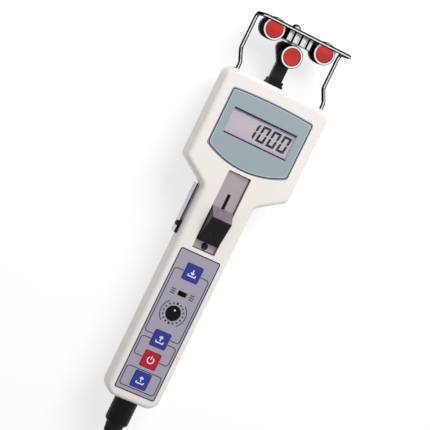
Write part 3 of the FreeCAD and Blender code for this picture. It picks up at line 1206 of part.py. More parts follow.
def make_lead():
    """The lead, its coil, the tie round the turns and the plug at the far end."""
    lead = shape_object("lead_tubes", Part.makeCompound([cord_tube(CORD_ROUTE), cord_tube(CORD_TAIL)]))
    place(lead, "0", BOOT_TIP)
    node(lead, "cord")
    x, y = str(COIL_CENTRE[0]), "(%s + %s)" % (BOOT_TIP, COIL_CENTRE[1])
    coil = turned("coil_body", "XZ_Plane", [("coil_inner", "0"), ("coil_outer", "0"),
                                            ("coil_outer", "coil_height"), ("coil_inner", "coil_height")],
                  (x, y, "0"))
    round_edges(coil, "coil_round", "coil_edge", lambda edge: edge.BoundBox.ZLength < 0.01
                and edge.BoundBox.XLength > size("coil_inner"))
    node(coil, "cord_coil")
    inner_edge = "(sqrt(coil_inner ^ 2 - (tie_width / 2) ^ 2) - tie_slack)"
    middle = "%s - (coil_outer + tie_slack + %s) / 2" % (y, inner_edge)
    reach = "coil_outer + tie_slack - %s" % inner_edge
    over = centred_box("tie_outer", x, middle, "0", "tie_width", reach + " + 2 * tie_thick",
                       "coil_height + tie_slack + tie_thick")
    inside = centred_box("tie_inner", x, middle, "-past", "tie_width + 2 * past", reach,
                         "coil_height + tie_slack + past")
    node(cut("tie_cut", over, inside), "cord_tie")
    end = CORD_TAIL[-1]
    shell_start = "far_boot_length + far_plug_neck"
    plug = turned("far_plug_body", "XY_Plane",
                  [("0", "0"), ("far_boot_start", "0"), ("far_boot_end", "far_boot_length"),
                   ("far_plug_radius - far_plug_neck / 2", "far_boot_length + far_plug_step"),
                   ("far_plug_radius", shell_start), ("far_plug_radius", "far_plug_length - far_plug_sleeve"),
                   ("far_plug_radius - far_plug_step", "far_plug_length - far_plug_sleeve"),
                   ("far_plug_radius - far_plug_step", "far_plug_length"), ("0", "far_plug_length")],
                  (str(end[0]), "%s + %s" % (BOOT_TIP, end[1]), "far_plug_radius"))
    node(plug, "far_plug")


def check_and_export():
    """Stop at a failed object, then write one file for each node."""
    doc.recompute()
    for item in doc.Objects:
        if "Invalid" in item.State or "Error" in item.State:
            raise RuntimeError("%s failed: %s" % (item.Label, item.State))
    for item in NODES:
        if item.Shape.isNull() or not item.Shape.isValid() or not item.Shape.Solids:
            raise RuntimeError("%s has no valid solid" % item.Label)
    for item in NODES:
        item.Shape.exportStep("parts/%s.step" % item.Label)
        bounds = item.Shape.optimalBoundingBox()
        print("%-18s solids %d volume %8.0f  x %6.1f %6.1f  y %6.1f %6.1f  z %5.1f %5.1f" % (
            item.Label, len(item.Shape.Solids), item.Shape.Volume, bounds.XMin, bounds.XMax, bounds.YMin,
            bounds.YMax, bounds.ZMin, bounds.ZMax))
    print(len(NODES), "nodes")


make_front_shell()
make_power(make_rear_shell())
make_display()
make_slide_plate()
make_thumb_slide()
make_yoke()
make_bail()
make_guide_post()
make_bridge()
make_rollers()
make_arm()
make_load_cell()
make_springs()
make_keypad()
make_selector()
make_mode_switch()
make_rear_fittings()
make_side_clip()
make_socket_and_plug()
make_lead()
check_and_export()
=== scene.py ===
"""Dressed model of a hand-held tension meter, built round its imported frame."""

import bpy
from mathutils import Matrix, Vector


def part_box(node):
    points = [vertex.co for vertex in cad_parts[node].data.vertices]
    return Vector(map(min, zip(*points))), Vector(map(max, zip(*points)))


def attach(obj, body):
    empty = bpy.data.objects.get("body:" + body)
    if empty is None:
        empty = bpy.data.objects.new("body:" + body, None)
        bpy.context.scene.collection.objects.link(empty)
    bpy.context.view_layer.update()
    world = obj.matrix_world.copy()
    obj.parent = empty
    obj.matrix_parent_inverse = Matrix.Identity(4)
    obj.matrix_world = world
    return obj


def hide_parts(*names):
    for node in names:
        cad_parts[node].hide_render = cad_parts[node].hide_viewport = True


bl_info = {
    "name": "Hand-held tension meter",
    "version": (1, 0, 0),
    "blender": (4, 5, 0),
    "location": "3D View > Sidebar > Meter",
    "description": "Builds the housing finish, display, keypad, roller head and lead of a tension meter",
    "category": "Object",
}

import bmesh
import bpy
import numpy as np
from bpy.props import FloatProperty, FloatVectorProperty, IntProperty, PointerProperty, StringProperty
from mathutils import Matrix, Vector

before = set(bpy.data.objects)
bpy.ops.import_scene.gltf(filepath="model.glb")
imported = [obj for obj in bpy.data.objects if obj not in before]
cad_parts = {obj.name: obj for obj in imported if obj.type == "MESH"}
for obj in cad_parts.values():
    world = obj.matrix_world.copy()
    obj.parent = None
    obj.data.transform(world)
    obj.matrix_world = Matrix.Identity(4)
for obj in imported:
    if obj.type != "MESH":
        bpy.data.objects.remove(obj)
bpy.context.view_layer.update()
MM = 0.001
TURN = 2 * np.pi
ROUND_STEPS = 8  # faces in a rounded corner
INK = 0.03 * MM  # half the height of a print
SHARP = np.radians(35)  # edges that turn by more stay sharp
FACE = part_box("front_shell")[1][2]  # height of the housing's front face

# The lead's way from the boot's tip to the coil, and from the coil to the far plug, in metres.
# X and Y are measured from the boot's tip, Z from the floor.
CORD_ROUTE = [
    (0, 0, 0.0313), (0, -0.015, 0.0313), (-0.0008, -0.029, 0.0262), (-0.0026, -0.0425, 0.017),
    (-0.0054, -0.056, 0.008), (-0.0098, -0.07, 0.003), (-0.016, -0.084, 0.0026),
]
CORD_TAIL = [(-0.0835, -0.074, 0.0072), (-0.0785, -0.055, 0.0072), (-0.0785, -0.0415, 0.0072)]
COIL_CENTRE = (-0.048, -0.069)


# Sizes and colours that a user would change

def length_value(name, description, millimetres):
    """A length, given in millimetres."""
    return FloatProperty(name=name, description=description, default=millimetres * MM, unit="LENGTH")


def angle_value(name, description, degrees):
    """An angle, given in degrees."""
    return FloatProperty(name=name, description=description, default=np.radians(degrees), subtype="ANGLE")


def colour_value(name, description, value):
    """A colour, given as an sRGB hex value."""
    return StringProperty(name=name, description=description, default=value)


class DisplaySizes(bpy.types.PropertyGroup):
    """Printing and digits of the display."""

    line_width: length_value("Line width", "Printed lines round the display", 0.9)
    digit_height: length_value("Digit height", "Height of one digit", 11.4)
    digit_width: length_value("Digit width", "Width of one digit", 5.9)
    digit_pitch: length_value("Digit pitch", "From one digit to the next", 7.7)
    digit_stroke: length_value("Segment width", "Width of a digit's segment", 1.6)
    digit_lean: angle_value("Digit lean", "Slant of the digits", 8)
    reading: IntProperty(name="Reading", description="Number that the display shows", default=1000)


class KeypadSizes(bpy.types.PropertyGroup):
    """Printing on the keypad panel and the keys."""

    outline_width: length_value("Outline width", "Printed outline of each key group", 0.55)
    outline_side: length_value("Outline half width", "Middle of the panel to an outline", 12.6)
    outline_corner: length_value("Outline corner", "Corner radius of an outline", 2)
    symbol_width: length_value("Symbol line", "Line width of the symbols on the keys", 0.75)
    dot_ring: length_value("Dial ring", "Radius of the dots round the selector", 6.9)
    dot_count: IntProperty(name="Dial dots", description="Dots round the selector", default=16)
    dot_radius: length_value("Dial dot", "Radius of one dot", 0.62)


class HeadSizes(bpy.types.PropertyGroup):
    """Shapes in the roller head that the frame leaves plain."""

    rim_round: length_value("Rim rounding", "Rounding of a roller's rim", 0.45)


class LeadSizes(bpy.types.PropertyGroup):
    """Size of the lead and its coil."""

    thickness: length_value("Lead thickness", "Outside diameter of the lead", 5)
    length: length_value("Lead length", "Length along the lead", 1400)


class FinishColours(bpy.types.PropertyGroup):
    """Colours as sRGB hex values."""

    housing: colour_value("Housing", "Moulded housing", "#F4EEE8")
    panel: colour_value("Display panel", "Film round the display", "#93A1A6")
    keypad: colour_value("Keypad panel", "Film under the keys", "#9E96A6")
    ink: colour_value("Ink", "Printed lines", "#1D2248")
    blue_key: colour_value("Blue key", "Blue keys", "#323E9A")
    red_key: colour_value("Red key", "Red key", "#C41A39")
    roller_cap: colour_value("Roller cap", "Caps of the rollers", "#CE3934")
    display: colour_value("Display glass", "Display ground", "#E1D7DD")
    plate: colour_value("Slide plate", "Plate under the slide", "#B3A9AD")


class StageSettings(bpy.types.PropertyGroup):
    """Camera and lamps."""

    focal_pixels: FloatProperty(name="Focal length", description="Focal length in pixels of a 430 frame",
                                default=1700)
    azimuth: angle_value("Azimuth", "Camera to the side of the front face's normal", -17.46)
    elevation: angle_value("Elevation", "Camera towards the head's side", 3.89)
    roll: angle_value("Roll", "Camera turned about its own axis", 25.93)
    distance: length_value("Distance", "Camera to the front face", 1100)
    aim: FloatVectorProperty(name="Aim", description="Point of the front face that the camera is set by",
                             default=(0, -0.015, 0.04), subtype="TRANSLATION")
    shift: FloatVectorProperty(name="Slide", description="Camera moved along its own right and up",
                               default=(-0.0002, 0.0075), size=2, subtype="TRANSLATION")


class MeterSettings(bpy.types.PropertyGroup):
    """All settings of the meter."""

    display: PointerProperty(type=DisplaySizes)
    keypad: PointerProperty(type=KeypadSizes)
    head: PointerProperty(type=HeadSizes)
    lead: PointerProperty(type=LeadSizes)
    colour: PointerProperty(type=FinishColours)
    stage: PointerProperty(type=StageSettings)


# Surfaces worked out as whole arrays

def grid_faces(rows, columns, closed=False):
    """Quads between neighbours of a grid, numbered row by row. Columns are joined end to end, and rows
    where the grid is closed."""
    row, column = np.arange(rows if closed else rows - 1)[:, None], np.arange(columns)[None, :]
    next_row, next_column = (row + 1) % rows, (column + 1) % columns
    quads = (row * columns + column, row * columns + next_column,
             next_row * columns + next_column, next_row * columns + column)
    return np.stack(quads, -1).reshape(-1, 4).tolist()


def loft(rings, closed=False):
    """Rings of equal count joined by quads; the first and last are filled unless the loft is closed."""
    rings = np.asarray(rings, float)
    rows, columns = rings.shape[:2]
    faces = grid_faces(rows, columns, closed)
    if not closed:
        faces.append(list(range(columns)))
        faces.append(list(range((rows - 1) * columns, rows * columns)))
    return rings.reshape(-1, 3), faces


def joined(shapes):
    """Several shapes as one: each shape's face numbers are moved up by the points before it."""
    points, faces, start = [], [], 0
    for shape_points, shape_faces in shapes:
        points.append(shape_points)
        faces += [[corner + start for corner in face] for face in shape_faces]
        start += len(shape_points)
    return np.concatenate(points), faces


def around(angle):
    """Directions at the given angles."""
    return np.stack([np.cos(angle), np.sin(angle)], -1)


def lifted(points, height):
    """Flat points at one height."""
    return np.column_stack([points, np.full(len(points), height)])


def rounded_rectangle(width, length, radius, steps=ROUND_STEPS):
    """Outline of quarter circles centred in from each corner, with its outward directions."""
    angle = np.linspace(0, np.pi / 2, steps + 1)[None, :] + np.arange(4)[:, None] * np.pi / 2
    way = around(angle)
    signs = np.array([[1, 1], [-1, 1], [-1, -1], [1, -1]])[:, None, :]
    centre = signs * (np.array([width, length]) / 2 - radius)
    return (centre + radius * way).reshape(-1, 2), way.reshape(-1, 2)


def unit(ways):
    """Rows of directions, each divided by its length."""
    return ways / np.linalg.norm(ways, axis=1, keepdims=True)


def outward(points):
    """Outward direction at each point of a counter-clockwise outline: its tangent turned clockwise."""
    tangent = np.roll(points, -1, 0) - np.roll(points, 1, 0)
    return unit(np.stack([tangent[:, 1], -tangent[:, 0]], -1))


def slab(outline, way, levels):
    """Outline carried upwards: each level is (inset, height), and its ring is the outline less inset."""
    return loft([lifted(outline - way * inset, height) for inset, height in levels])


def soft_levels(low, high, bevel):
    """Levels from low to high whose top edge is a quarter circle of the given radius."""
    angle = np.linspace(0, np.pi / 2, 5)
    return [(0, low)] + [(bevel * (1 - np.cos(a)), high - bevel + bevel * np.sin(a)) for a in angle]


def carried(profile, way, start, stop, edge):
    """Profile in x and z carried along y from start to stop, and drawn in by the edge at both ends."""
    rings = []
    for y, inset in ((start, edge), (start + edge, 0), (stop - edge, 0), (stop, edge)):
        loop = profile - way * inset
        rings.append(np.column_stack([loop[:, 0], np.full(len(loop), y), loop[:, 1]]))
    return loft(rings)


def printed(face):
    """Bottom and top of a print on a face."""
    return face - INK, face + INK


def band(outline, way, width, low, high):
    """Closed printed line: a flat four-sided section carried round an outline."""
    half = width / 2
    return loft([lifted(outline + way * side, height)
                 for side, height in ((half, low), (half, high), (-half, high), (-half, low))], closed=True)


def stroke(points, width, low, high):
    """Open printed line: a flat band whose edges lie half its width to each side of the points."""
    points = np.asarray(points, float)
    tangent = unit(np.gradient(points, axis=0))
    side = np.stack([-tangent[:, 1], tangent[:, 0]], -1) * width / 2
    return loft(np.stack([lifted(points + side * sign, height)
                          for sign, height in ((1, low), (1, high), (-1, high), (-1, low))], 1))


def disc(centre, radius, low, high, count=20):
    """Flat dot: a circle at two heights."""
    way = around(np.arange(count) / count * TURN)
    return slab(np.asarray(centre) + radius * way, way, [(0, low), (0, high)])


def lathe(profile, axis, centre, segments, wave=None):
    """Profile of (radius, along) turned about an axis; wave(angle, along) scales the radius."""
    profile = np.asarray(profile, float)
    angle = np.arange(segments) / segments * TURN
    radius = profile[:, :1] * np.ones(segments)
    if wave:
        radius = radius * wave(angle[None, :], profile[:, 1:])
    parts = {axis: profile[:, 1:] * np.ones(segments)}
    first, second = [name for name in "xyz" if name != axis]
    parts[first], parts[second] = radius * np.cos(angle), radius * np.sin(angle)
    return loft(np.stack([parts[name] for name in "xyz"], -1) + np.asarray(centre, float))


def square_blend(start, corner, stop, share):
    """Curve from start to stop that leaves and arrives along the lines to the corner."""
    return (1 - share) ** 2 * start + 2 * share * (1 - share) * corner + share ** 2 * stop


def eased(profile, radius, steps=4):
    """Profile whose inner corners are replaced by short curves: each goes from one side of the
    corner to the other as the square blend of start, corner and end."""
    profile = [np.array(point, float) for point in profile]
    result = [profile[0]]
    for before, corner, after in zip(profile, profile[1:], profile[2:]):
        reach_in = min(radius, np.linalg.norm(before - corner) / 2)
        reach_out = min(radius, np.linalg.norm(after - corner) / 2)
        start = corner + (before - corner) / np.linalg.norm(before - corner) * reach_in
        stop = corner + (after - corner) / np.linalg.norm(after - corner) * reach_out
        share = np.linspace(0, 1, steps + 1)[:, None]
        result += list(square_blend(start, corner, stop, share))
    result.append(profile[-1])
    return np.array(result)


def eased_loop(outline, radius):
    """Closed outline with each corner eased."""
    ring = [np.array(point, float) for point in outline]
    middle = (ring[0] + ring[-1]) / 2
    return eased([middle] + ring + [middle], radius)[:-1]


def wire_line(points, radii, steps):
    """Centreline of straight runs joined by tangent arcs of the given radii."""
    points = [np.array(point, float) for point in points]
    line = [points[0]]
    for before, corner, after, radius in zip(points, points[1:], points[2:], radii):
        come = (corner - before) / np.linalg.norm(corner - before)
        leave = (after - corner) / np.linalg.norm(after - corner)
        turn = np.arccos(np.clip(come @ leave, -1, 1))
        reach = radius * np.tan(turn / 2)
        normal = leave - come * (come @ leave)
        normal /= np.linalg.norm(normal)
        angle = np.linspace(0, turn, steps + 1)[:, None]
        start = corner - come * reach
        line += list(start + radius * (np.sin(angle) * come + (1 - np.cos(angle)) * normal))
    return np.array(line + [points[-1]])


def tube(line, radius, segments):
    """Circle carried along a line, its frame turned as little as possible from one point to the next."""
    line = np.asarray(line, float)
    tangent = unit(np.gradient(line, axis=0))
    side = np.cross(tangent[0], (0.3, 0.2, 0.9))
    frames = []
    for way in tangent:
        side = side - way * (side @ way)
        side /= np.linalg.norm(side)
        frames.append((side, np.cross(way, side)))
    frames = np.array(frames)
    angle = np.arange(segments) / segments * TURN
    ring = frames[:, 0, None] * np.cos(angle)[:, None] + frames[:, 1, None] * np.sin(angle)[:, None]
    rings = line[:, None] + radius * ring
    return loft(rings)


# Pieces

def piece(name, shape, body, material, replaced=()):
    """Mesh object from a shape: doubles merged, faces turned outwards, smooth up to the sharp angle."""
    mesh = bpy.data.meshes.new(name)
    mesh.from_pydata(shape[0].tolist(), [], shape[1])
    work = bmesh.new()
    work.from_mesh(mesh)
    bmesh.ops.remove_doubles(work, verts=work.verts, dist=1e-7)
    bmesh.ops.recalc_face_normals(work, faces=work.faces)
    work.to_mesh(mesh)
    work.free()
    mesh.polygons.foreach_set("use_smooth", np.ones(len(mesh.polygons), bool))
    mesh.set_sharp_from_angle(angle=SHARP)
    mesh.materials.append(material)
    thing = bpy.data.objects.new(name, mesh)
    bpy.context.scene.collection.objects.link(thing)
    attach(thing, body)
    if replaced:
        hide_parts(*replaced)
    return thing


def dress(material, *nodes):
    """Give carried-over nodes a material."""
    for name in nodes:
        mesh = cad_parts[name].data
        mesh.materials.clear()
        mesh.materials.append(material)


def corners(name):
    """Low and high corner of a node's box, in metres."""
    low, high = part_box(name)
    return np.array(low), np.array(high)


def middle_of(name):
    """Middle of a node's box."""
    low, high = corners(name)
    return (low + high) / 2


def settings():
    """The meter's settings in the current scene."""
    return bpy.context.scene.tension_meter


# Finishes

def linear(colour):
    """An sRGB hex value as linear red, green and blue, fully opaque."""
    value = np.array([int(colour[i:i + 2], 16) for i in (1, 3, 5)]) / 255
    value = np.where(value <= 0.04045, value / 12.92, ((value + 0.055) / 1.055) ** 2.4)
    return (*value.tolist(), 1.0)


def add(tree, kind, inputs=(), **options):
    """One node with its options; each input is a socket's name or number with a value or a link."""
    node = tree.nodes.new(kind)
    for name, value in options.items():
        setattr(node, name, value)
    for key, value in inputs:
        if isinstance(value, bpy.types.NodeSocket):
            tree.links.new(value, node.inputs[key])
        else:
            node.inputs[key].default_value = value
    return node


def noise(tree, place, scale, detail):
    """Noise from 0 to 1; its scale is in waves a metre."""
    return add(tree, "ShaderNodeTexNoise", [("Vector", place), ("Scale", scale),
                                            ("Detail", detail)]).outputs["Fac"]


def blend(tree, share, colour, shade):
    """Colour between two sRGB hex values."""
    return add(tree, "ShaderNodeMix", [("Factor", share), ("A", linear(colour)), ("B", linear(shade))],
               data_type="RGBA").outputs["Result"]


def ranged(tree, value, low, high, start=0.0, stop=1.0):
    """What runs from start to stop, laid out from low to high."""
    return add(tree, "ShaderNodeMapRange", [("Value", value), ("From Min", start), ("From Max", stop),
                                            ("To Min", low), ("To Max", high)]).outputs["Result"]


def raised(tree, height, strength, depth):
    """Normal of a face that the height raises; its depth is in millimetres."""
    return add(tree, "ShaderNodeBump", [("Height", height), ("Strength", strength),
                                        ("Distance", depth * MM)]).outputs["Normal"]


def maths(tree, operation, *values, clamp=False):
    """Result of one sum."""
    return add(tree, "ShaderNodeMath", enumerate(values), operation=operation, use_clamp=clamp).outputs[0]


def facing(tree, axis):
    """How far a face looks along an axis."""
    normal = add(tree, "ShaderNodeNewGeometry").outputs["Normal"]
    return add(tree, "ShaderNodeSeparateXYZ", [(0, normal)]).outputs[axis]


def mixed(tree, share, first, second):
    """Shader between two others."""
    return add(tree, "ShaderNodeMixShader", enumerate((share, first, second))).outputs[0]


SOCKETS = {"colour": "Base Color", "rough": "Roughness", "normal": "Normal", "metal": "Metallic",
           "mirror": "Specular IOR Level", "tint": "Specular Tint", "bend": "IOR", "coat": "Coat Weight",
           "coat_rough": "Coat Roughness"}


def principled(tree, **inputs):
    """Principled shader with its inputs under short names."""
    pairs = [(SOCKETS[name], value) for name, value in inputs.items()]
    return add(tree, "ShaderNodeBsdfPrincipled", pairs).outputs["BSDF"]


def empty_tree(block):
    """The cleared node tree of a material or a world."""
    block.use_nodes = True
    block.node_tree.nodes.clear()
    return block.node_tree


def finish(build):
    """Turn a function that gives a shader into one that makes a material, once for each name."""
    def make(name, *values, **named):
        material = bpy.data.materials.get(name)
        if material is None:
            material = bpy.data.materials.new(name)
            tree = empty_tree(material)
            place = add(tree, "ShaderNodeTexCoord").outputs["Object"]
            shader = build(tree, place, *values, **named)
            add(tree, "ShaderNodeOutputMaterial", [("Surface", shader)])
        return material
    return make


@finish
def moulded_abs(tree, place, colour, shade, roughness=0.42, mirror=0.5):
    """Injection-moulded ABS from a spark-eroded tool: a faint even grain, soft sheen and slight
    unevenness of tone. The grain is drawn at about 0.7 mm, coarser than life, so that it shows."""
    grain = noise(tree, place, 1 / (0.7 * MM), 2)
    return principled(tree, colour=blend(tree, noise(tree, place, 45, 3), colour, shade),
                      rough=ranged(tree, grain, roughness - 0.05, roughness + 0.07),
                      normal=raised(tree, grain, 0.1, 0.05), mirror=mirror, bend=1.54)


@finish
def printed_polycarbonate(tree, place, colour, shade):
    """Polycarbonate film printed on its back: an even colour under a velvet face with tiny specks."""
    speck = noise(tree, place, 1 / (0.8 * MM), 2)
    return principled(tree, colour=blend(tree, speck, colour, shade), rough=0.34,
                      normal=raised(tree, speck, 0.06, 0.03), bend=1.58, coat=0.15, coat_rough=0.3)


@finish
def screen_ink(tree, place, colour):
    """Screen-printed ink: an opaque, slightly uneven film with a dull face."""
    cover = noise(tree, place, 1 / (1.2 * MM), 1)
    return principled(tree, colour=linear(colour), rough=ranged(tree, cover, 0.4, 0.6), mirror=0.2,
                      bend=1.5)


@finish
def clear_acrylic(tree, place):
    """Cast acrylic window: colourless and smooth, with faint wipe marks. So thin a pane doesn't bend what
    is seen through it, so it is clear, with a gloss that grows at a glance."""
    haze = ranged(tree, noise(tree, place, 120, 2), 0.02, 0.07)
    clear = add(tree, "ShaderNodeBsdfTransparent", [("Color", linear("#FBFBFC"))])
    gloss = add(tree, "ShaderNodeBsdfGlossy", [("Color", linear("#FFFFFF")), ("Roughness", haze)])
    glance = add(tree, "ShaderNodeFresnel", [("IOR", 1.3)])
    return mixed(tree, glance.outputs[0], clear.outputs[0], gloss.outputs[0])


@finish
def liquid_crystal(tree, place, colour):
    """Reflective liquid-crystal cell: a dull rose-grey ground with the fine sparkle of its reflector."""
    sparkle = noise(tree, place, 1 / (0.5 * MM), 4)
    return principled(tree, colour=blend(tree, sparkle, colour, "#D3C9CF"), rough=0.5, bend=1.52)


@finish
def brushed_metal(tree, place, colour, shade, roughness, along=(1, 1, 1), metal=1.0):
    """Metal with drawn or ground lines: noise stretched along one axis colours it and roughens it.
    The lines are drawn about half a millimetre apart, wider than life, so that they show."""
    stretched = add(tree, "ShaderNodeMapping", [("Vector", place), ("Scale", along)]).outputs["Vector"]
    lines = noise(tree, stretched, 1 / (0.5 * MM), 3)
    return principled(tree, colour=blend(tree, lines, colour, shade), metal=metal,
                      rough=ranged(tree, lines, roughness - 0.06, roughness + 0.08),
                      normal=raised(tree, lines, 0.12, 0.02))


@finish
def buffed_metal(tree, place, bright, dark, along="Z", low=0.7, high=0.9, roughness=0.1, rim="#0A0A0C"):
    """Bright metal whose colour is painted by where each face looks: faces that look along one axis are
    painted mirror-bright and the flanks are painted dark, a painted reflection. A faint ripple and fine
    scratches run over both, and the plate's rim darkens at a glance, as chromium does.
    On a wire the painted reflection is bright to the front, the back and the sides, and the attribute
    wire_painted_reflection_front says how far each point looks to the front of its own run."""
    if along == "wire":
        front = add(tree, "ShaderNodeAttribute", attribute_name="wire_painted_reflection_front").outputs["Fac"]
        rest = maths(tree, "SUBTRACT", 1.0, maths(tree, "MULTIPLY", front, front), clamp=True)
        level = maths(tree, "MAXIMUM", maths(tree, "ABSOLUTE", front), maths(tree, "SQRT", rest))
    else:
        level = maths(tree, "ABSOLUTE", facing(tree, along))
    edge = maths(tree, "MULTIPLY_ADD", noise(tree, place, 1 / (0.4 * MM), 3), 0.16, level)
    share = ranged(tree, edge, 0, 1, low + 0.08, high + 0.08)
    ripple = noise(tree, place, 260, 2)
    # Colour: the painted reflection, dark on the flanks and bright where the face looks along the axis
    return principled(tree, colour=blend(tree, share, dark, bright), metal=1.0, tint=linear(rim),
                      rough=ranged(tree, ripple, roughness - 0.04, roughness + 0.06),
                      normal=raised(tree, ripple, 0.15, 0.1))


@finish
def black_oxide(tree, place):
    """Steel with black oxide: near-black with rubbed, slightly browner patches and an oily sheen."""
    rubbed = noise(tree, place, 180, 5)
    return principled(tree, colour=blend(tree, rubbed, "#17151A", "#2A262C"), metal=0.25, mirror=0.2,
                      rough=ranged(tree, rubbed, 0.3, 0.48))


@finish
def moulded_rubber(tree, place, colour="#0D0C0E", shade="#191719"):
    """Moulded soft PVC or rubber: deep black with a dull bloom and fine pores."""
    bloom, pores = noise(tree, place, 90, 4), noise(tree, place, 1 / (0.6 * MM), 1)
    return principled(tree, colour=blend(tree, bloom, colour, shade), rough=0.55, mirror=0.15,
                      normal=raised(tree, pores, 0.12, 0.05), bend=1.52)


@finish
def turned_cap(tree, place, colour, centre):
    """Red moulded cap with the faint rings that its turned tool leaves, about its own centre."""
    centred = add(tree, "ShaderNodeMapping", [("Vector", place), ("Location", tuple(-np.array(centre)))])
    rings = add(tree, "ShaderNodeTexWave", [("Vector", centred.outputs["Vector"]), ("Scale", 1 / (2.4 * MM)),
                                            ("Distortion", 0.4)], wave_type="RINGS", rings_direction="Z")
    return principled(tree, colour=blend(tree, noise(tree, place, 200, 3), colour, "#B8302C"), rough=0.45,
                      mirror=0.25, normal=raised(tree, rings.outputs["Fac"], 0.1, 0.05), bend=1.5)


@finish
def thumb_worn_abs(tree, place):
    """Black moulded ABS whose faces that look towards the head, the ramp most, are painted a satin grey as
    painted light from the head's side; a noise smears its edge.
    """
    smear = noise(tree, place, 1 / (2.5 * MM), 4)
    level = maths(tree, "MULTIPLY_ADD", smear, 0.3, facing(tree, "Y"))
    return principled(tree, colour=blend(tree, ranged(tree, level, 0, 0.8, 0.72, 1.05), "#0B0A0D", "#968B97"),
                      rough=ranged(tree, smear, 0.3, 0.46), mirror=0.4, bend=1.54)


def black_abs():
    """The black moulded ABS of the plugs, the knob and the switches."""
    return moulded_abs("black_moulded_abs", "#0A090C", "#121114", 0.3, mirror=0.08)


def black_steel():
    """The blackened steel of the bridge, the arm and the screws."""
    return black_oxide("blackened_steel")


def black_rubber():
    """The black rubber of the seal, the gland and the boot."""
    return moulded_rubber("black_moulded_rubber")


def ground_steel():
    """The ground steel of the axles, the bearings and the carriage."""
    return brushed_metal("ground_steel", "#BDBCC0", "#A6A5AA", 0.26)


def white_ink():
    """The white ink of the key symbols and the pointer."""
    return screen_ink("white_screen_ink", "#E9E8F0")


# Build functions and operators: one operator for each piece or group of like pieces

class METER_OT_housing(bpy.types.Operator):
    """Finish the two moulded shells, the battery door and the rear fittings."""

    bl_idname = "meter.housing"
    bl_label = "Housing"

    def execute(self, context):
        dress(moulded_abs("cream_moulded_abs", settings().colour.housing, "#EDE6DF"), "front_shell",
              "rear_shell", "battery_door")
        dress(brushed_metal("plated_steel", "#B9B8BC", "#9E9DA2", 0.3), "housing_screws",
              "load_cell_screws", "battery_contacts", "return_springs")
        dress(brushed_metal("brass", "#C9A050", "#B08A40", 0.3), "tripod_insert")
        dress(brushed_metal("sintered_bronze", "#9C7A4C", "#83643C", 0.42), "bail_bushes", "post_bush")
        dress(black_abs(), "output_socket", "key_switches", "selector_body", "mode_switch_body")
        dress(moulded_abs("epoxy_glass_board", "#1D5233", "#23603C", 0.35), "main_board")
        dress(brushed_metal("wrapped_cell_can", "#3A3A40", "#4A4A52", 0.35), "batteries")
        dress(brushed_metal("milled_aluminium", "#C4C5C8", "#ABACB0", 0.3, (1, 0.05, 1)), "load_cell")
        return {"FINISHED"}


def print_lines(sizes, ink):
    """The panel's dark rim and, inside it, a light line that is a painted bevel highlight, and the thick
    line above and below the window."""
    low, high = corners("display_panel")
    crown, bow, corner = 1.2 * MM, 7.4 * MM, 2.4 * MM
    shapes = []
    for inset, width in ((0.75 * MM, 0.6 * MM), (1.35 * MM, 0.5 * MM)):
        ring = bowed_outline(low + inset, high - inset, crown, bow, corner - inset / 2)
        shapes.append(band(ring, outward(ring), width, *printed(high[2])))
    rim, glint = shapes
    low, high = corners("display_window")
    ends, half, lines = np.linspace(low[0], high[0], 5), sizes.line_width / 2, [rim]
    for y in (low[1] + half, high[1] - half):
        lines.append(stroke(np.stack([ends, np.full(5, y)], -1), 2 * half, high[2], high[2] + INK))
    piece("display_print", joined(lines), "housing", ink)
    # Painted bevel highlight: a light teal line inside the dark rim
    piece("display_painted_bevel_highlight", glint, "housing", screen_ink("pale_teal_painted_highlight", "#B9CBD0"))


def bowed_outline(low, high, crown, bow, corner):
    """Straight sides and bowed ends: an end's height falls with the square of x over the half
    width, and each corner is the square blend of its start, corner and end."""
    half = high[0]
    across = np.linspace(1 - corner / half, corner / half - 1, 33)
    head = np.stack([half * across, high[1] - crown * across ** 2], -1)
    foot = np.stack([-half * across, low[1] + bow * across ** 2], -1)
    share = np.linspace(0, 1, 7)[1:-1, None]
    top, bottom = high[1] - crown, low[1] + bow
    runs = []
    for run, after, x, y, far, way in ((head, foot, -half, top, bottom, -1),
                                       (foot, head, half, bottom, top, 1)):
        end, start = np.array([[x, y + way * corner], [x, far - way * corner]])
        runs += [run, square_blend(run[-1], np.array([x, y]), end, share), end[None], start[None],
                 square_blend(start, np.array([x, far]), after[0], share)]
    return np.concatenate(runs)


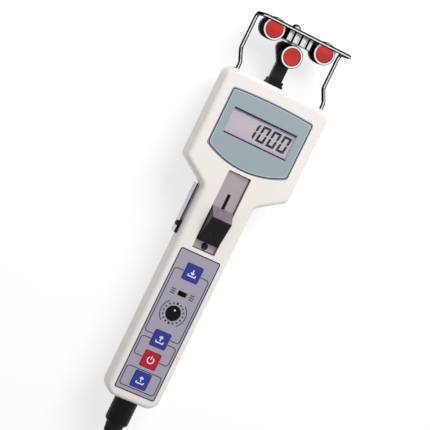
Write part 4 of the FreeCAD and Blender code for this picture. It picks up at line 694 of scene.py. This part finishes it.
def show_digits(sizes):
    """Seven-segment digits, leaned by a shear in x: each segment is a bar, pointed at half height and
    cut at 45 degrees at a corner, where its outer side runs on by its half width."""
    lit = {"0": "abcdef", "1": "bc", "2": "abged", "3": "abgcd", "4": "fgbc", "5": "afgcd",
           "6": "afgedc", "7": "abc", "8": "abcdefg", "9": "abcdfg"}
    half, top, width = sizes.digit_height / 2, sizes.digit_height, sizes.digit_width
    ends = {"a": ((0, top), (width, top)), "b": ((width, top), (width, half)),
            "c": ((width, half), (width, 0)), "d": ((0, 0), (width, 0)), "e": ((0, 0), (0, half)),
            "f": ((0, half), (0, top)), "g": ((0, half), (width, half))}
    low, high = corners("display_window")
    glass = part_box("lcd_module")[1][2]
    right, foot = high[0] - 2 * MM - width, (low[1] + high[1]) / 2 - half + 0.1 * MM
    gap, lean, inset = 0.05 * MM, np.tan(sizes.digit_lean), sizes.digit_stroke / 2
    text, shapes = str(sizes.reading), []
    for place, digit in enumerate(text):
        left = right - sizes.digit_pitch * (len(text) - 1 - place)
        for name in lit[digit]:
            start, stop = (np.array(end) * (1 - 2 * inset / np.array([width, top])) + inset
                           for end in ends[name])
            way = (stop - start) / np.linalg.norm(stop - start)
            side = np.array([-way[1], way[0]]) * inset
            side *= -1 if side @ ((start + stop) / 2 - (width / 2, half)) < 0 else 1
            start, stop = start + way * gap, stop - way * gap
            first, last = (way * inset * (1 if abs(end[1] - half) < inset else -1)
                           for end in (start, stop))
            bar = np.array([start, start + way * inset - side, stop - way * inset - side,
                            stop, stop - last + side, start + first + side])
            bar += np.stack([left + (bar[:, 1] - half) * lean, np.full(len(bar), foot)], -1)
            shapes.append(slab(bar, outward(bar), [(0, height) for height in printed(glass)]))
    piece("display_digits", joined(shapes), "housing", screen_ink("dark_crystal", "#08070B"))


class METER_OT_display(bpy.types.Operator):
    """Display panel's print, window, glass and digits."""

    bl_idname = "meter.display"
    bl_label = "Display"

    def execute(self, context):
        sizes, colour = settings().display, settings().colour
        dress(printed_polycarbonate("teal_printed_polycarbonate", colour.panel, "#99A8AB"), "display_panel")
        dress(clear_acrylic("clear_cast_acrylic"), "display_window")
        dress(liquid_crystal("liquid_crystal_glass", colour.display), "lcd_module")
        print_lines(sizes, screen_ink("navy_screen_ink", colour.ink))
        show_digits(sizes)
        return {"FINISHED"}


def print_panel(sizes, ink):
    """Rounded outlines of the key groups, two of them left open where a key stands on them, the dial's
    dots and arcs, and small tick marks."""
    low, high = corners("keypad_panel")
    level = printed(high[2])
    knob, lever, store, recall, power, data = (middle_of(name)[:2] for name in (
        "selector_knob", "mode_lever", "store_key", "recall_key", "power_key", "data_key"))
    rim_inset, rim_width, rim_corner = 0.35 * MM, 0.6 * MM, 1.2 * MM
    rim, way = rounded_rectangle(*(high - low - 2 * rim_inset)[:2], rim_corner)
    shapes = [band(rim + (low[:2] + high[:2]) / 2, way, rim_width, *level)]
    groups = ((knob[1] - 17.3 * MM, store[1] - 0.5 * MM), (power[1] + 0.3 * MM, recall[1] - 1.5 * MM),
              (data[1] - 6.9 * MM, data[1] + 6.6 * MM))
    key_room = 6.1 * MM
    for bottom, top in groups:
        outline, way = rounded_rectangle(2 * sizes.outline_side, top - bottom, sizes.outline_corner)
        outline = outline + (0, (top + bottom) / 2)
        if bottom < data[1]:
            shapes.append(band(outline, way, sizes.outline_width, *level))
            continue
        left = outline[len(outline) // 4:3 * len(outline) // 4]
        left = np.concatenate([[(-key_room, top)], left, [(-key_room, bottom)]])
        shapes += [stroke(left * (side, 1), sizes.outline_width, *level) for side in (1, -1)]
    for way in around(np.arange(sizes.dot_count) / sizes.dot_count * TURN):
        grown = 1.4 if abs(way[1]) > 0.99 else 1
        shapes.append(disc(knob + sizes.dot_ring * way, sizes.dot_radius * grown, *level, 12))
    arc_gap, arc_reach, arc_width = 2.1 * MM, 0.9, 0.55 * MM
    for middle in (0, np.pi):
        sweep = np.linspace(middle - arc_reach, middle + arc_reach, 20)
        arc = knob + (sizes.dot_ring + arc_gap) * around(sweep)
        shapes.append(stroke(arc, arc_width, *level))
    tick_start, tick_pitch, tick_length, tick_width = 5.2 * MM, 1.5 * MM, 3.2 * MM, 0.65 * MM
    for side in (-1, 1):
        for step in (-1, 0, 1):
            start = lever + (side * tick_start, step * tick_pitch)
            line = start + np.array([[0, 0], [side * tick_length / 2, 0], [side * tick_length, 0]])
            shapes.append(stroke(line, tick_width, *level))
    piece("keypad_print", joined(shapes), "housing", ink)


def make_key(key, silicone, slot):
    """Key cap on its flat rim plate: a rounded square with a soft rim, whose top sinks with the square
    of the distance in from the rim, as shrinking rings."""
    low, high = corners(key)
    middle, bottom, sink = middle_of(key)[:2], low[2], 0.14 * MM
    plate, plate_way = rounded_rectangle(*(high - low)[:2], 1 * MM)
    rim = slab(plate + middle, plate_way, [(0, bottom), (0, bottom + 0.8 * MM)])
    cap_width, cap_length, cap_corner = 11.2 * MM, 11 * MM, 0.9 * MM
    cap, way = rounded_rectangle(cap_width, cap_length, cap_corner)
    rings = [lifted(cap - way * inset, height)
             for inset, height in soft_levels(bottom + 0.7 * MM, high[2], 0.45 * MM)]
    rings += [rings[-1] * (share, share, 1) - (0, 0, sink * (1 - share ** 2))
              for share in (0.9, 0.75, 0.6, 0.4, 0.2)]
    points, faces = loft(rings)
    piece(key + "_cap", joined([rim, (points + (*middle, 0), faces)]), key, silicone, (key,))


def make_symbol(key, width):
    """Symbol in white: an arrow into or out of a tray, a broken ring with a bar, or an arrow out.
    Its points are in millimetres, and each line stands a hair above the one before."""
    sink, hair = 0.14 * MM, 0.006 * MM
    middle, low = middle_of(key)[:2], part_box(key)[1][2] - sink
    if key == "power_key":
        sweep = np.linspace(np.radians(125), np.radians(415), 30)
        lines = [2.2 * around(sweep), [(0, 0.4), (0, 1.7), (0, 2.9)]]
    else:
        tip, tail = (-1.0, 2.4) if key == "store_key" else (2.4, -1.0)
        flip = np.sign(tail - tip)
        lines = [[(-2.6, -0.9), (-2.6, -2.0), (-2.6, -2.2), (-2.4, -2.2), (0, -2.2), (2.4, -2.2),
                  (2.6, -2.2), (2.6, -2.0), (2.6, -0.9)], [(0, tail), (0, (tip + tail) / 2), (0, tip)]]
        lines += [[(side * 1.3, tip + flip * 1.3), (side * 0.65, tip + flip * 0.65), (0, tip)]
                  for side in (-1, 1)]
    shapes = [stroke(np.array(line) * MM + middle, width, low, low + 2 * INK + hair * i)
              for i, line in enumerate(lines)]
    piece(key + "_symbol", joined(shapes), key, white_ink())


def make_lever():
    """Mode lever: a small block with soft edges and two finger grooves across its top."""
    low, high = corners("mode_lever")
    edge, groove = 0.15 * MM, 0.22 * MM
    along = np.linspace(low[0], high[0], 25)
    top = high[2] - groove * (0.5 - 0.5 * np.cos((along - low[0]) / (high[0] - low[0]) * 3 * TURN))
    profile = np.concatenate([np.stack([along, top], -1), [(high[0], low[2]), (low[0], low[2])]])
    way = outward(profile[::-1])[::-1]
    shape = carried(profile, way, low[1], high[1], edge)
    piece("mode_lever_cap", shape, "mode_lever", black_abs(), ("mode_lever",))


class METER_OT_keypad(bpy.types.Operator):
    """Keypad panel's print, the four keys with their symbols and the mode switch."""

    bl_idname = "meter.keypad"
    bl_label = "Keypad"

    def execute(self, context):
        sizes, colour = settings().keypad, settings().colour
        dress(printed_polycarbonate("lavender_printed_polycarbonate", colour.keypad, "#A69EAE"),
              "keypad_panel")
        print_panel(sizes, screen_ink("navy_screen_ink", colour.ink))
        blue = moulded_abs("blue_moulded_silicone", colour.blue_key, "#2A3488", 0.5, mirror=0.25)
        red = moulded_abs("red_moulded_silicone", colour.red_key, "#AE1532", 0.5, mirror=0.25)
        for key in ("store_key", "recall_key", "power_key", "data_key"):
            look = (red, "red_key") if key == "power_key" else (blue, "blue_key")
            make_key(key, *look)
            make_symbol(key, sizes.symbol_width)
        make_lever()
        return {"FINISHED"}


class METER_OT_selector(bpy.types.Operator):
    """Fluted selector knob with its pointer dot."""

    bl_idname = "meter.selector"
    bl_label = "Selector knob"

    def execute(self, context):
        low, high = corners("selector_knob")
        middle, radius = middle_of("selector_knob")[:2], (high[0] - low[0]) / 2
        stem, foot, top = 1.5 * MM, FACE - 2.8 * MM, high[2] - 0.35 * MM
        profile = eased([(0, low[2]), (stem, low[2]), (stem, foot), (radius, foot),
                         (radius, high[2] - 0.1 * MM), (radius * 0.72, high[2]), (radius * 0.62, top),
                         (0, top)], 0.3 * MM)

        def flutes(angle, along):
            """Radius less a narrow dip at each of twelve places, only above the panel's face."""
            dip = np.clip(np.cos(12 * angle), 0, 1) ** 2
            return 1 - 0.07 * dip * (along > FACE - 0.9 * MM)

        piece("selector_knob_cap", lathe(profile, "z", (*middle, 0), 144, flutes), "selector_knob",
              black_abs(), ("selector_knob",))
        piece("selector_pointer", disc(middle + (0, 2.3 * MM), 0.65 * MM, *printed(top)),
              "selector_knob", white_ink())
        return {"FINISHED"}


def make_seal():
    """Black band in the angle between the plate and the opening's wall: a painted shadow along the recess's
    edge.
    """
    face, width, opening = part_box("slide_plate")[1][2], 0.5 * MM, (16.6 * MM, 55.4 * MM)
    ring, way = rounded_rectangle(opening[0] - width, opening[1] - width, 0.3 * MM)
    piece("slide_plate_painted_shadow", band(ring + middle_of("slide_plate")[:2], way, width, face - INK,
                                   face + 0.35 * MM), "housing", black_rubber())


def mark_slot():
    """Dark line round the slot: painted shade along the slot's edge."""
    back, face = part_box("thumb_slide")[0][1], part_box("slide_plate")[1][2]
    width, length, foot, line = 1.7 * MM, 21.7 * MM, back + 12.8 * MM, 0.32 * MM
    ring, way = rounded_rectangle(width + line, length + line, 0.2 * MM, 2)
    middle = (0, foot + length / 2)
    piece("slot_shade_painted_line", band(ring + middle, way, line, *printed(face)), "housing",
          screen_ink("painted_slot_shade_ink", "#131116"))


def make_slide():
    """Side profile in y and z: front ramp, crest and a rear top whose height is a saw-tooth of
    fine ribs; it is carried across x with inset ends and narrowed in proportion to its height."""
    low, high = corners("thumb_slide")
    base = FACE - 2.2 * MM
    front, back, crest, tail, edge = high[1], low[1], high[1] - 6.2 * MM, base + 4 * MM, 0.5 * MM
    along = np.linspace(0, 1, 400)
    rib = 0.45 * MM * np.abs((along * 20) % 1 - 0.5) * 2
    top = np.stack([crest - 0.6 * MM - along * (crest - back - 1.2 * MM),
                    high[2] - 0.25 * MM - along * (high[2] - tail) - rib], -1)
    ramp = eased([(front, base), (front, base + 1.2 * MM), (crest, high[2]), top[0]], 0.8 * MM, 6)
    end = eased([top[-1], (back, tail - 0.3 * MM), (back, base), (back + 2 * MM, base)], 0.6 * MM, 6)
    profile = np.concatenate([ramp, top, end])
    way, half = outward(profile), (high[0] - low[0]) / 2
    angle = np.linspace(0, np.pi / 2, 5)
    stations = list(zip(-half + edge * (1 - np.cos(angle)), edge * (1 - np.sin(angle))))
    stations += [(-x, inset) for x, inset in reversed(stations)]
    rings = []
    for x, inset in stations:
        loop = profile - way * inset
        narrow = 1 - 0.11 * (loop[:, 1] - base) / (high[2] - base)
        rings.append(np.column_stack([x * narrow, loop]))
    stem_width, stem_length, stem_middle = 1.1 * MM, 10 * MM, back + 18.1 * MM
    outline, stem_way = rounded_rectangle(stem_width, stem_length, 0.3 * MM)
    stem = slab(outline + (0, stem_middle), stem_way, [(0, low[2]), (0, base + 0.5 * MM)])
    # The slide's ramp carries painted light: a satin grey on the faces that look towards the head
    piece("thumb_slide_cap", joined([loft(rings), stem]), "carriage",
          thumb_worn_abs("thumb_black_abs_painted_lit_ramp"), ("thumb_slide",))


class METER_OT_slide(bpy.types.Operator):
    """Slide plate with its screw, and the ribbed thumb slide."""

    bl_idname = "meter.slide"
    bl_label = "Thumb slide"

    def execute(self, context):
        dress(brushed_metal("grey_anodised_aluminium", settings().colour.plate, "#A59CA1", 0.42,
                            (1, 0.06, 1), 0.35), "slide_plate")
        dress(black_steel(), "slide_plate_screw")
        make_seal()
        mark_slot()
        make_slide()
        return {"FINISHED"}


def mark_front(wire, line):
    """Share of each point's outward direction that looks to the front: its product with the front
    direction less that direction's part along the wire, at the nearest point of the centreline."""
    ahead = np.array([-0.1, -0.1, 1.0])
    count = len(wire.data.vertices)
    points = np.empty(count * 3)
    wire.data.vertices.foreach_get("co", points)
    points = points.reshape(-1, 3)
    tangent = unit(np.gradient(line, axis=0))
    start, run = line[:-1], line[1:] - line[:-1]
    share = np.clip(((points[:, None] - start) * run).sum(-1) / (run ** 2).sum(-1), 0, 1)
    foot = start + share[..., None] * run
    near = np.linalg.norm(points[:, None] - foot, axis=-1).argmin(1)
    rows = np.arange(count)
    out = points - foot[rows, near]
    out /= np.maximum(np.linalg.norm(out, axis=1, keepdims=True), 1e-9)
    along = unit(tangent[near] + share[rows, near][:, None] * (tangent[near + 1] - tangent[near]))
    front = unit(ahead - along * (along @ ahead)[:, None])
    # Mask of the wire's painted reflection: how far each point looks to the front
    mark = wire.data.attributes.new("wire_painted_reflection_front", "FLOAT", "POINT")
    mark.data.foreach_set("value", (out * front).sum(1))


class METER_OT_bail(bpy.types.Operator):
    """Bright wire bow round the rollers."""

    bl_idname = "meter.bail"
    bl_label = "Wire bow"

    def execute(self, context):
        low, high = corners("bail")
        top, radius, foot_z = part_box("front_shell")[1][1], 1.35 * MM, 34.1 * MM
        half, bow_z, bar_z = high[0] - radius, low[2] + radius, high[2] - radius
        bar_y = high[1] - radius - 1 * MM
        side = [(half, low[1], foot_z), (half, top + 4.2 * MM, foot_z), (half, top + 13.2 * MM, bow_z),
                (half, bar_y, bow_z), (half, bar_y, bar_z)]
        points = side + [(-x, y, z) for x, y, z in reversed(side)]
        foot_bend, bar_bend = 3 * MM, 3.8 * MM
        line = wire_line(points, [foot_bend] * 2 + [bar_bend] * 4 + [foot_bend] * 2, 12)
        # The wire's colour is a painted reflection: bright to the front, back and sides, painted dark between
        # them
        wire = piece("bail_wire", tube(line, radius, 28), "carriage",
                     buffed_metal("chromium_plate_painted_reflection", "#F0F1F5", "#1F1D24", "wire", 0.93, 0.99),
                     ("bail",))
        mark_front(wire, line)
        return {"FINISHED"}


def make_roller(body, rim):
    """Ring with a groove whose flanks run straight to a narrow waist, turned about z, and a cap whose
    face falls off towards its edge."""
    low, high = corners(body)
    centre, waist = (*middle_of(body)[:2], 0), middle_of(body)[2]
    radius, back, front = (high[0] - low[0]) / 2, low[2], high[2]
    bore, seat, bed = 3.5 * MM, 5.9 * MM, front - 1.1 * MM
    deep, groove, flat = radius - 2.1 * MM, 2.5 * MM, 0.3 * MM
    profile = eased([(bore, back), (radius - 0.2 * MM, back), (radius, back + 0.5 * MM),
                     (radius, waist - groove), (deep, waist - flat), (deep, waist + flat),
                     (radius, waist + groove), (radius, front - 0.6 * MM), (radius - 0.6 * MM, front),
                     (seat, front), (seat, bed), (bore, bed), (bore, back)], settings().head.rim_round)
    points = lathe(profile, "z", centre, 96)[0]
    piece(body + "_ring", (points, grid_faces(len(profile), 96)), body, rim, (body,))
    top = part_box(body + "_cap")[1][2]
    cap = eased([(0, bed), (seat, bed), (seat, top - 0.25 * MM), (5.2 * MM, top - 0.05 * MM),
                 (0.9 * MM, top), (0, top)], 0.2 * MM)
    side = body.removesuffix("_roller")
    red = turned_cap(side + "_red_moulded_cap", settings().colour.roller_cap, centre)
    piece(side + "_cap_disc", lathe(cap, "z", centre, 72), body, red, (body + "_cap",))


class METER_OT_rollers(bpy.types.Operator):
    """Three grooved rollers with their red caps."""

    bl_idname = "meter.rollers"
    bl_label = "Rollers"

    def execute(self, context):
        # The rings' colour is a painted reflection: faces that look to the front painted bright, groove and
        # sides painted dark
        rim = buffed_metal("roller_steel_painted_reflection", "#ECEBEF", "#201D22", low=0.82, high=0.97, roughness=0.16)
        dress(ground_steel(), "left_bearing", "right_bearing", "middle_bearing", "outer_axles",
              "middle_axle", "guide_post")
        for body in ("left_roller", "right_roller", "middle_roller"):
            make_roller(body, rim)
        return {"FINISHED"}


def make_block():
    """Guide block: an outline in x and z with three channels, eased, carried along y."""
    low, high = corners("guide_block")
    half, back, front, edge = high[0], low[2], high[2], 0.25 * MM
    floor, pitch, side = front - 3.4 * MM, 5.3 * MM, 1.1 * MM
    outline = [(-half, back), (half, back), (half, front)]
    for x in (pitch, 0, -pitch):
        outline += [(x + side, front), (x + side, floor), (x - side, floor), (x - side, front)]
    loop = eased_loop(outline + [(-half, front)], 0.5 * MM)
    shape = carried(loop, outward(loop), low[1], high[1], edge)
    # Painted reflection: lands and channel floors that face the front painted bright, channel walls and sides
    # painted dark
    piece("guide_block_body", shape, "carriage",
          buffed_metal("block_steel_painted_reflection", "#E6E5EA", "#221F26", low=0.6, high=0.85, roughness=0.14),
          ("guide_block",))


class METER_OT_head(bpy.types.Operator):
    """Guide block, bridge, measuring arm, nut and gland."""

    bl_idname = "meter.head"
    bl_label = "Roller head"

    def execute(self, context):
        dress(black_steel(), "roller_bridge", "measuring_arm")
        # The cap nut's colour is a painted reflection: its crown painted bright, its sides painted dark
        dress(buffed_metal("nut_steel_painted_reflection", "#E6E6EA", "#1C1A20", low=0.72, high=0.92), "cap_nut")
        dress(black_rubber(), "arm_gland")
        dress(ground_steel(), "carriage_yoke")
        make_block()
        return {"FINISHED"}


class METER_OT_clip(bpy.types.Operator):
    """Spring clip on the left wall and its screw."""

    bl_idname = "meter.clip"
    bl_label = "Side clip"

    def execute(self, context):
        # The clip's colour is a painted reflection: faces that look along x painted bright, its front edge
        # painted dark
        dress(buffed_metal("clip_steel_painted_reflection", "#C2C0CC", "#2E2A36", "X", 0.6, 0.85, rim="#FFFFFF"),
              "side_clip")
        dress(black_steel(), "side_clip_screw")
        return {"FINISHED"}


def make_plug():
    """Plug: a profile of radius along y with a soft front edge, six shallow grip rings cut as the
    square of a cosine, a round shoulder and a neck in the socket."""
    low, high = corners("plug")
    x, _, z = middle_of("plug")
    radius, back, neck, round_off = (high[0] - low[0]) / 2, low[1], 4.2 * MM, 2.6 * MM
    front = min(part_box("front_shell")[0][1] - 0.1 * MM, high[1])
    angle = np.linspace(0, np.pi / 2, 9)
    shoulder = np.stack([radius - round_off * (1 - np.sin(angle)),
                         back + round_off * (1 - np.cos(angle))], -1)
    along = np.linspace(back + 2.7 * MM, front - 1.2 * MM, 140)
    share = (along - along[0]) / (along[-1] - along[0])
    ring = np.clip(np.cos((share * 6.5 + 0.25) * TURN), 0, 1) ** 2 * (share < 0.92)
    body = np.stack([radius - 0.18 * MM * ring, along], -1)
    edge = [(radius, front - 0.8 * MM), (radius - 0.3 * MM, front - 0.2 * MM),
            (radius - 0.9 * MM, front), (neck, front), (neck, high[1]), (0, high[1])]
    profile = np.concatenate([[(0, back)], shoulder, body, edge])
    piece("plug_body", lathe(profile, "y", (x, 0, z), 96), "housing", black_abs(),
          ("plug",))


def make_boot():
    """Strain relief: its radius falls evenly to the tip, which has a soft lip, less a groove at
    each ring; two webs bridge each groove, a quarter turned from one ring to the next."""
    low, high = corners("strain_relief")
    x, _, z = middle_of("strain_relief")
    wide, narrow, lip_room = 6.2 * MM, 3.2 * MM, 0.4 * MM
    pitch, first, last = 3.2 * MM, 3 * MM, 18.2 * MM
    tip = low[1] - lip_room
    along = np.linspace(high[1], tip, 180)
    lip = np.clip((along - tip) / (0.6 * MM), 0, 1)
    radius = wide + (narrow - wide) * (high[1] - along) / (high[1] - tip)
    radius -= 0.6 * MM * (1 - np.sqrt(lip * (2 - lip)))
    profile = np.concatenate([[(0, high[1])], np.stack([radius, along], -1), [(0, tip)]])

    def rings(angle, along):
        """Radius less the groove's depth: a raised cosine along y, held back where a web is."""
        down = high[1] - along
        count = (down - first) / pitch
        groove = np.clip(0.5 - 0.5 * np.cos(count * TURN) - 0.35, 0, 0.4) / 0.4
        web = np.clip((np.abs(np.cos(angle + np.floor(count) * np.pi / 2)) - 0.9) / 0.05, 0, 1)
        return 1 - 0.17 * groove * (1 - web) * ((down > first) & (down < last))

    piece("strain_relief_boot", lathe(profile, "y", (x, 0, z), 72, rings), "housing", black_rubber(),
          ("strain_relief",))


class METER_OT_plug(bpy.types.Operator):
    """Ribbed plug and its tapered strain relief."""

    bl_idname = "meter.plug"
    bl_label = "Plug"

    def execute(self, context):
        dress(black_abs(), "far_plug")
        make_plug()
        make_boot()
        return {"FINISHED"}


def make_tie():
    """Strap over the coil: a path in y and z up one side, across and down the other, eased at its
    corners, with its thickness laid inside it, and a wave of fine ribs across its top."""
    low, high = corners("cord_tie")
    near, far, top, foot = high[1] - 0.1 * MM, low[1] + 0.45 * MM, high[2] - 0.15 * MM, 0.1 * MM
    thick = 0.42 * MM
    path = eased([(near, foot), (near, top), (far, top), (far, foot)], 2.4 * MM, 6)
    path = np.stack([np.interp(np.linspace(0, len(path) - 1, 140), np.arange(len(path)), path[:, i])
                     for i in (0, 1)], -1)
    rib = 0.05 * MM * (1 - np.cos(np.linspace(0, 36 * TURN, len(path))))
    inner, outer = path - outward(path) * thick, path - outward(path) * rib[:, None]
    inner[[0, -1]] = path[[0, -1]] + [[-thick, 0], [thick, 0]]
    outer[[0, -1]] = path[[0, -1]]
    loop = np.concatenate([outer, inner[::-1]])
    rings = [np.column_stack([np.full(len(loop), x), loop]) for x in (low[0], high[0])]
    return piece("coil_tie", loft(rings), "housing",
                 moulded_rubber("black_hook_and_loop", "#151417", "#232226"),
                 ("cord_tie",))


def coil_turns(start, stop, centre, pitch):
    """Rings inwards on the floor and outwards again a layer higher: the angle runs on evenly,
    clockwise, and in the last fifth of each turn the lead moves over by its own thickness.
    The curve runs through the middles between its points, so they stand out by that much."""
    outer, steps, depth, count = 35.5 * MM, 14, 3, 7
    begin, end = (np.arctan2(*(point[:2] - centre)[::-1]) for point in (start, stop))
    whole = count + ((begin - end) % TURN) / TURN
    turn = np.arange(1, int(whole * steps)) / steps
    step = np.floor(turn) + np.clip((turn % 1 - 0.8) / 0.2, 0, 1)
    inward = np.clip(np.minimum(np.minimum(step, depth), 2 * depth + 1 - step), 0, depth)
    angle = begin - turn * TURN
    height = start[2] + (stop[2] - start[2]) * np.clip(step - depth, 0, 1)
    radius = (outer - pitch * inward) / np.cos(np.pi / steps)
    return np.column_stack([centre + radius[:, None] * around(angle), height])


class METER_OT_lead(bpy.types.Operator):
    """The lead with its put-away coil and tie, run out to the far plug."""

    bl_idname = "meter.lead"
    bl_label = "Lead"

    def execute(self, context):
        sizes = settings().lead
        offset = np.array([0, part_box("strain_relief")[0][1], 0])
        start, tail = np.array(CORD_ROUTE) + offset, np.array(CORD_TAIL) + offset
        coil = coil_turns(start[-1], tail[0], offset[:2] + COIL_CENTRE, sizes.thickness)
        points = np.concatenate([start, coil, tail])
        curve = bpy.data.curves.new("lead", "CURVE")
        curve.dimensions = "3D"
        curve.bevel_depth = sizes.thickness / 2
        curve.bevel_resolution = 4
        curve.resolution_u = 6
        spline = curve.splines.new("NURBS")
        spline.points.add(len(points) - 1)
        spline.points.foreach_set("co", np.column_stack([points, np.ones(len(points))]).ravel())
        spline.order_u = 3
        spline.use_endpoint_u = True
        curve.use_fill_caps = True
        curve.materials.append(moulded_rubber("black_flexible_pvc", "#151416", "#201F22"))
        lead = bpy.data.objects.new("lead", curve)
        bpy.context.scene.collection.objects.link(lead)
        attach(lead, "housing")
        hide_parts("cord", "cord_coil")
        tie = make_tie()
        return {"FINISHED"}


def seen_directly(tree):
    """1 for rays from the camera, from a mirror face or through glass, and 0 for the rest."""
    rays = add(tree, "ShaderNodeLightPath").outputs
    first = maths(tree, "ADD", rays["Is Camera Ray"], rays["Is Glossy Ray"])
    return maths(tree, "ADD", first, rays["Is Transmission Ray"], clamp=True)


def make_floor(scene):
    """A wide square at floor height, just under the meter. Seen, it is dim with a glow, so that it
    reads as pale paper that keeps a shadow."""
    half = 3.0
    mesh = bpy.data.meshes.new("floor")
    mesh.from_pydata([(-half, -half, 0), (half, -half, 0), (half, half, 0), (-half, half, 0)], [],
                     [(0, 1, 2, 3)])
    floor = bpy.data.objects.new("floor", mesh)
    scene.collection.objects.link(floor)
    material = bpy.data.materials.new("pale_paper")
    tree = empty_tree(material)
    paper, dim = (add(tree, "ShaderNodeBsdfDiffuse", [("Color", linear(colour))]).outputs[0]
                  for colour in ("#F4F4F5", "#A4A4A6"))
    glow = add(tree, "ShaderNodeEmission", [("Color", linear("#FFFFFF")), ("Strength", 0.68)])
    both = add(tree, "ShaderNodeAddShader", [(0, dim), (1, glow.outputs[0])])
    add(tree, "ShaderNodeOutputMaterial",
        [("Surface", mixed(tree, seen_directly(tree), paper, both.outputs[0]))])
    mesh.materials.append(material)


def make_world(scene):
    """Even pale surroundings; seen or mirrored they are white."""
    world = bpy.data.worlds.new("studio")
    tree = empty_tree(world)
    fill, white = (add(tree, "ShaderNodeBackground", [("Color", linear(colour)),
                                                      ("Strength", strength)]).outputs[0]
                   for colour, strength in (("#F6F6F8", 0.38), ("#FFFFFF", 1.0)))
    add(tree, "ShaderNodeOutputWorld", [("Surface", mixed(tree, seen_directly(tree), fill, white))])
    scene.world = world


def make_lamps(scene):
    """A broad key over the head's end, and a weaker fill from the handle's right. Mirror faces don't
    show the key, so that thin bright wires keep their dark edges."""
    for name, place, power, size in (("key", (0.08, 0.7, 0.82), 9.5, 0.7),
                                     ("fill", (0.9, -0.6, 0.9), 1.2, 0.9)):
        lamp = bpy.data.lights.new(name, "AREA")
        lamp.energy = power
        lamp.shape = "DISK"
        lamp.size = size
        thing = bpy.data.objects.new(name, lamp)
        thing.location = place
        thing.rotation_euler = (-Vector(place)).to_track_quat("-Z", "Y").to_euler()
        thing.visible_glossy = name != "key"
        scene.collection.objects.link(thing)


def make_camera(scene, stage):
    """Camera on a line from its aim point, turned about that line by the roll."""
    azimuth, elevation, roll, frame_pixels = stage.azimuth, stage.elevation, stage.roll, 430
    back = Vector((np.sin(azimuth) * np.cos(elevation), np.sin(elevation),
                   np.cos(azimuth) * np.cos(elevation)))
    level = Vector((0, 1, 0)).cross(back).normalized()
    upright = back.cross(level)
    right = level * np.cos(roll) + upright * np.sin(roll)
    up = upright * np.cos(roll) - level * np.sin(roll)
    data = bpy.data.cameras.new("camera")
    data.sensor_fit = "HORIZONTAL"
    data.sensor_width = 36.0
    data.lens = data.sensor_width * stage.focal_pixels / frame_pixels
    camera = bpy.data.objects.new("camera", data)
    place = Vector(stage.aim) + right * stage.shift[0] + up * stage.shift[1] + back * stage.distance
    camera.matrix_world = Matrix.Translation(place) @ Matrix((right, up, back)).transposed().to_4x4()
    scene.collection.objects.link(camera)
    scene.camera = camera


class METER_OT_stage(bpy.types.Operator):
    """Floor, lamps, world and the camera."""

    bl_idname = "meter.stage"
    bl_label = "Stage"

    def execute(self, context):
        scene = context.scene
        scene.view_settings.view_transform = "Standard"
        make_floor(scene)
        make_world(scene)
        make_lamps(scene)
        make_camera(scene, settings().stage)
        return {"FINISHED"}


OPERATORS = (METER_OT_housing, METER_OT_display, METER_OT_keypad, METER_OT_selector, METER_OT_slide,
             METER_OT_bail, METER_OT_rollers, METER_OT_head, METER_OT_clip, METER_OT_plug, METER_OT_lead,
             METER_OT_stage)


class METER_PT_sidebar(bpy.types.Panel):
    """Buttons for the meter's pieces."""

    bl_idname = "METER_PT_sidebar"
    bl_label = "Tension meter"
    bl_space_type = "VIEW_3D"
    bl_region_type = "UI"
    bl_category = "Meter"

    def draw(self, context):
        for operator in OPERATORS:
            self.layout.operator(operator.bl_idname)


CLASSES = (DisplaySizes, KeypadSizes, HeadSizes, LeadSizes, FinishColours, StageSettings, MeterSettings,
           *OPERATORS, METER_PT_sidebar)


def register():
    """Add the classes and the scene's settings."""
    for item in CLASSES:
        bpy.utils.register_class(item)
    bpy.types.Scene.tension_meter = PointerProperty(type=MeterSettings)


def unregister():
    """Take the settings and the classes away again."""
    del bpy.types.Scene.tension_meter
    for item in reversed(CLASSES):
        bpy.utils.unregister_class(item)


def main():
    register()
    for operator in OPERATORS:
        group, name = operator.bl_idname.split(".")
        getattr(getattr(bpy.ops, group), name)()


if __name__ == "__main__":
    main()
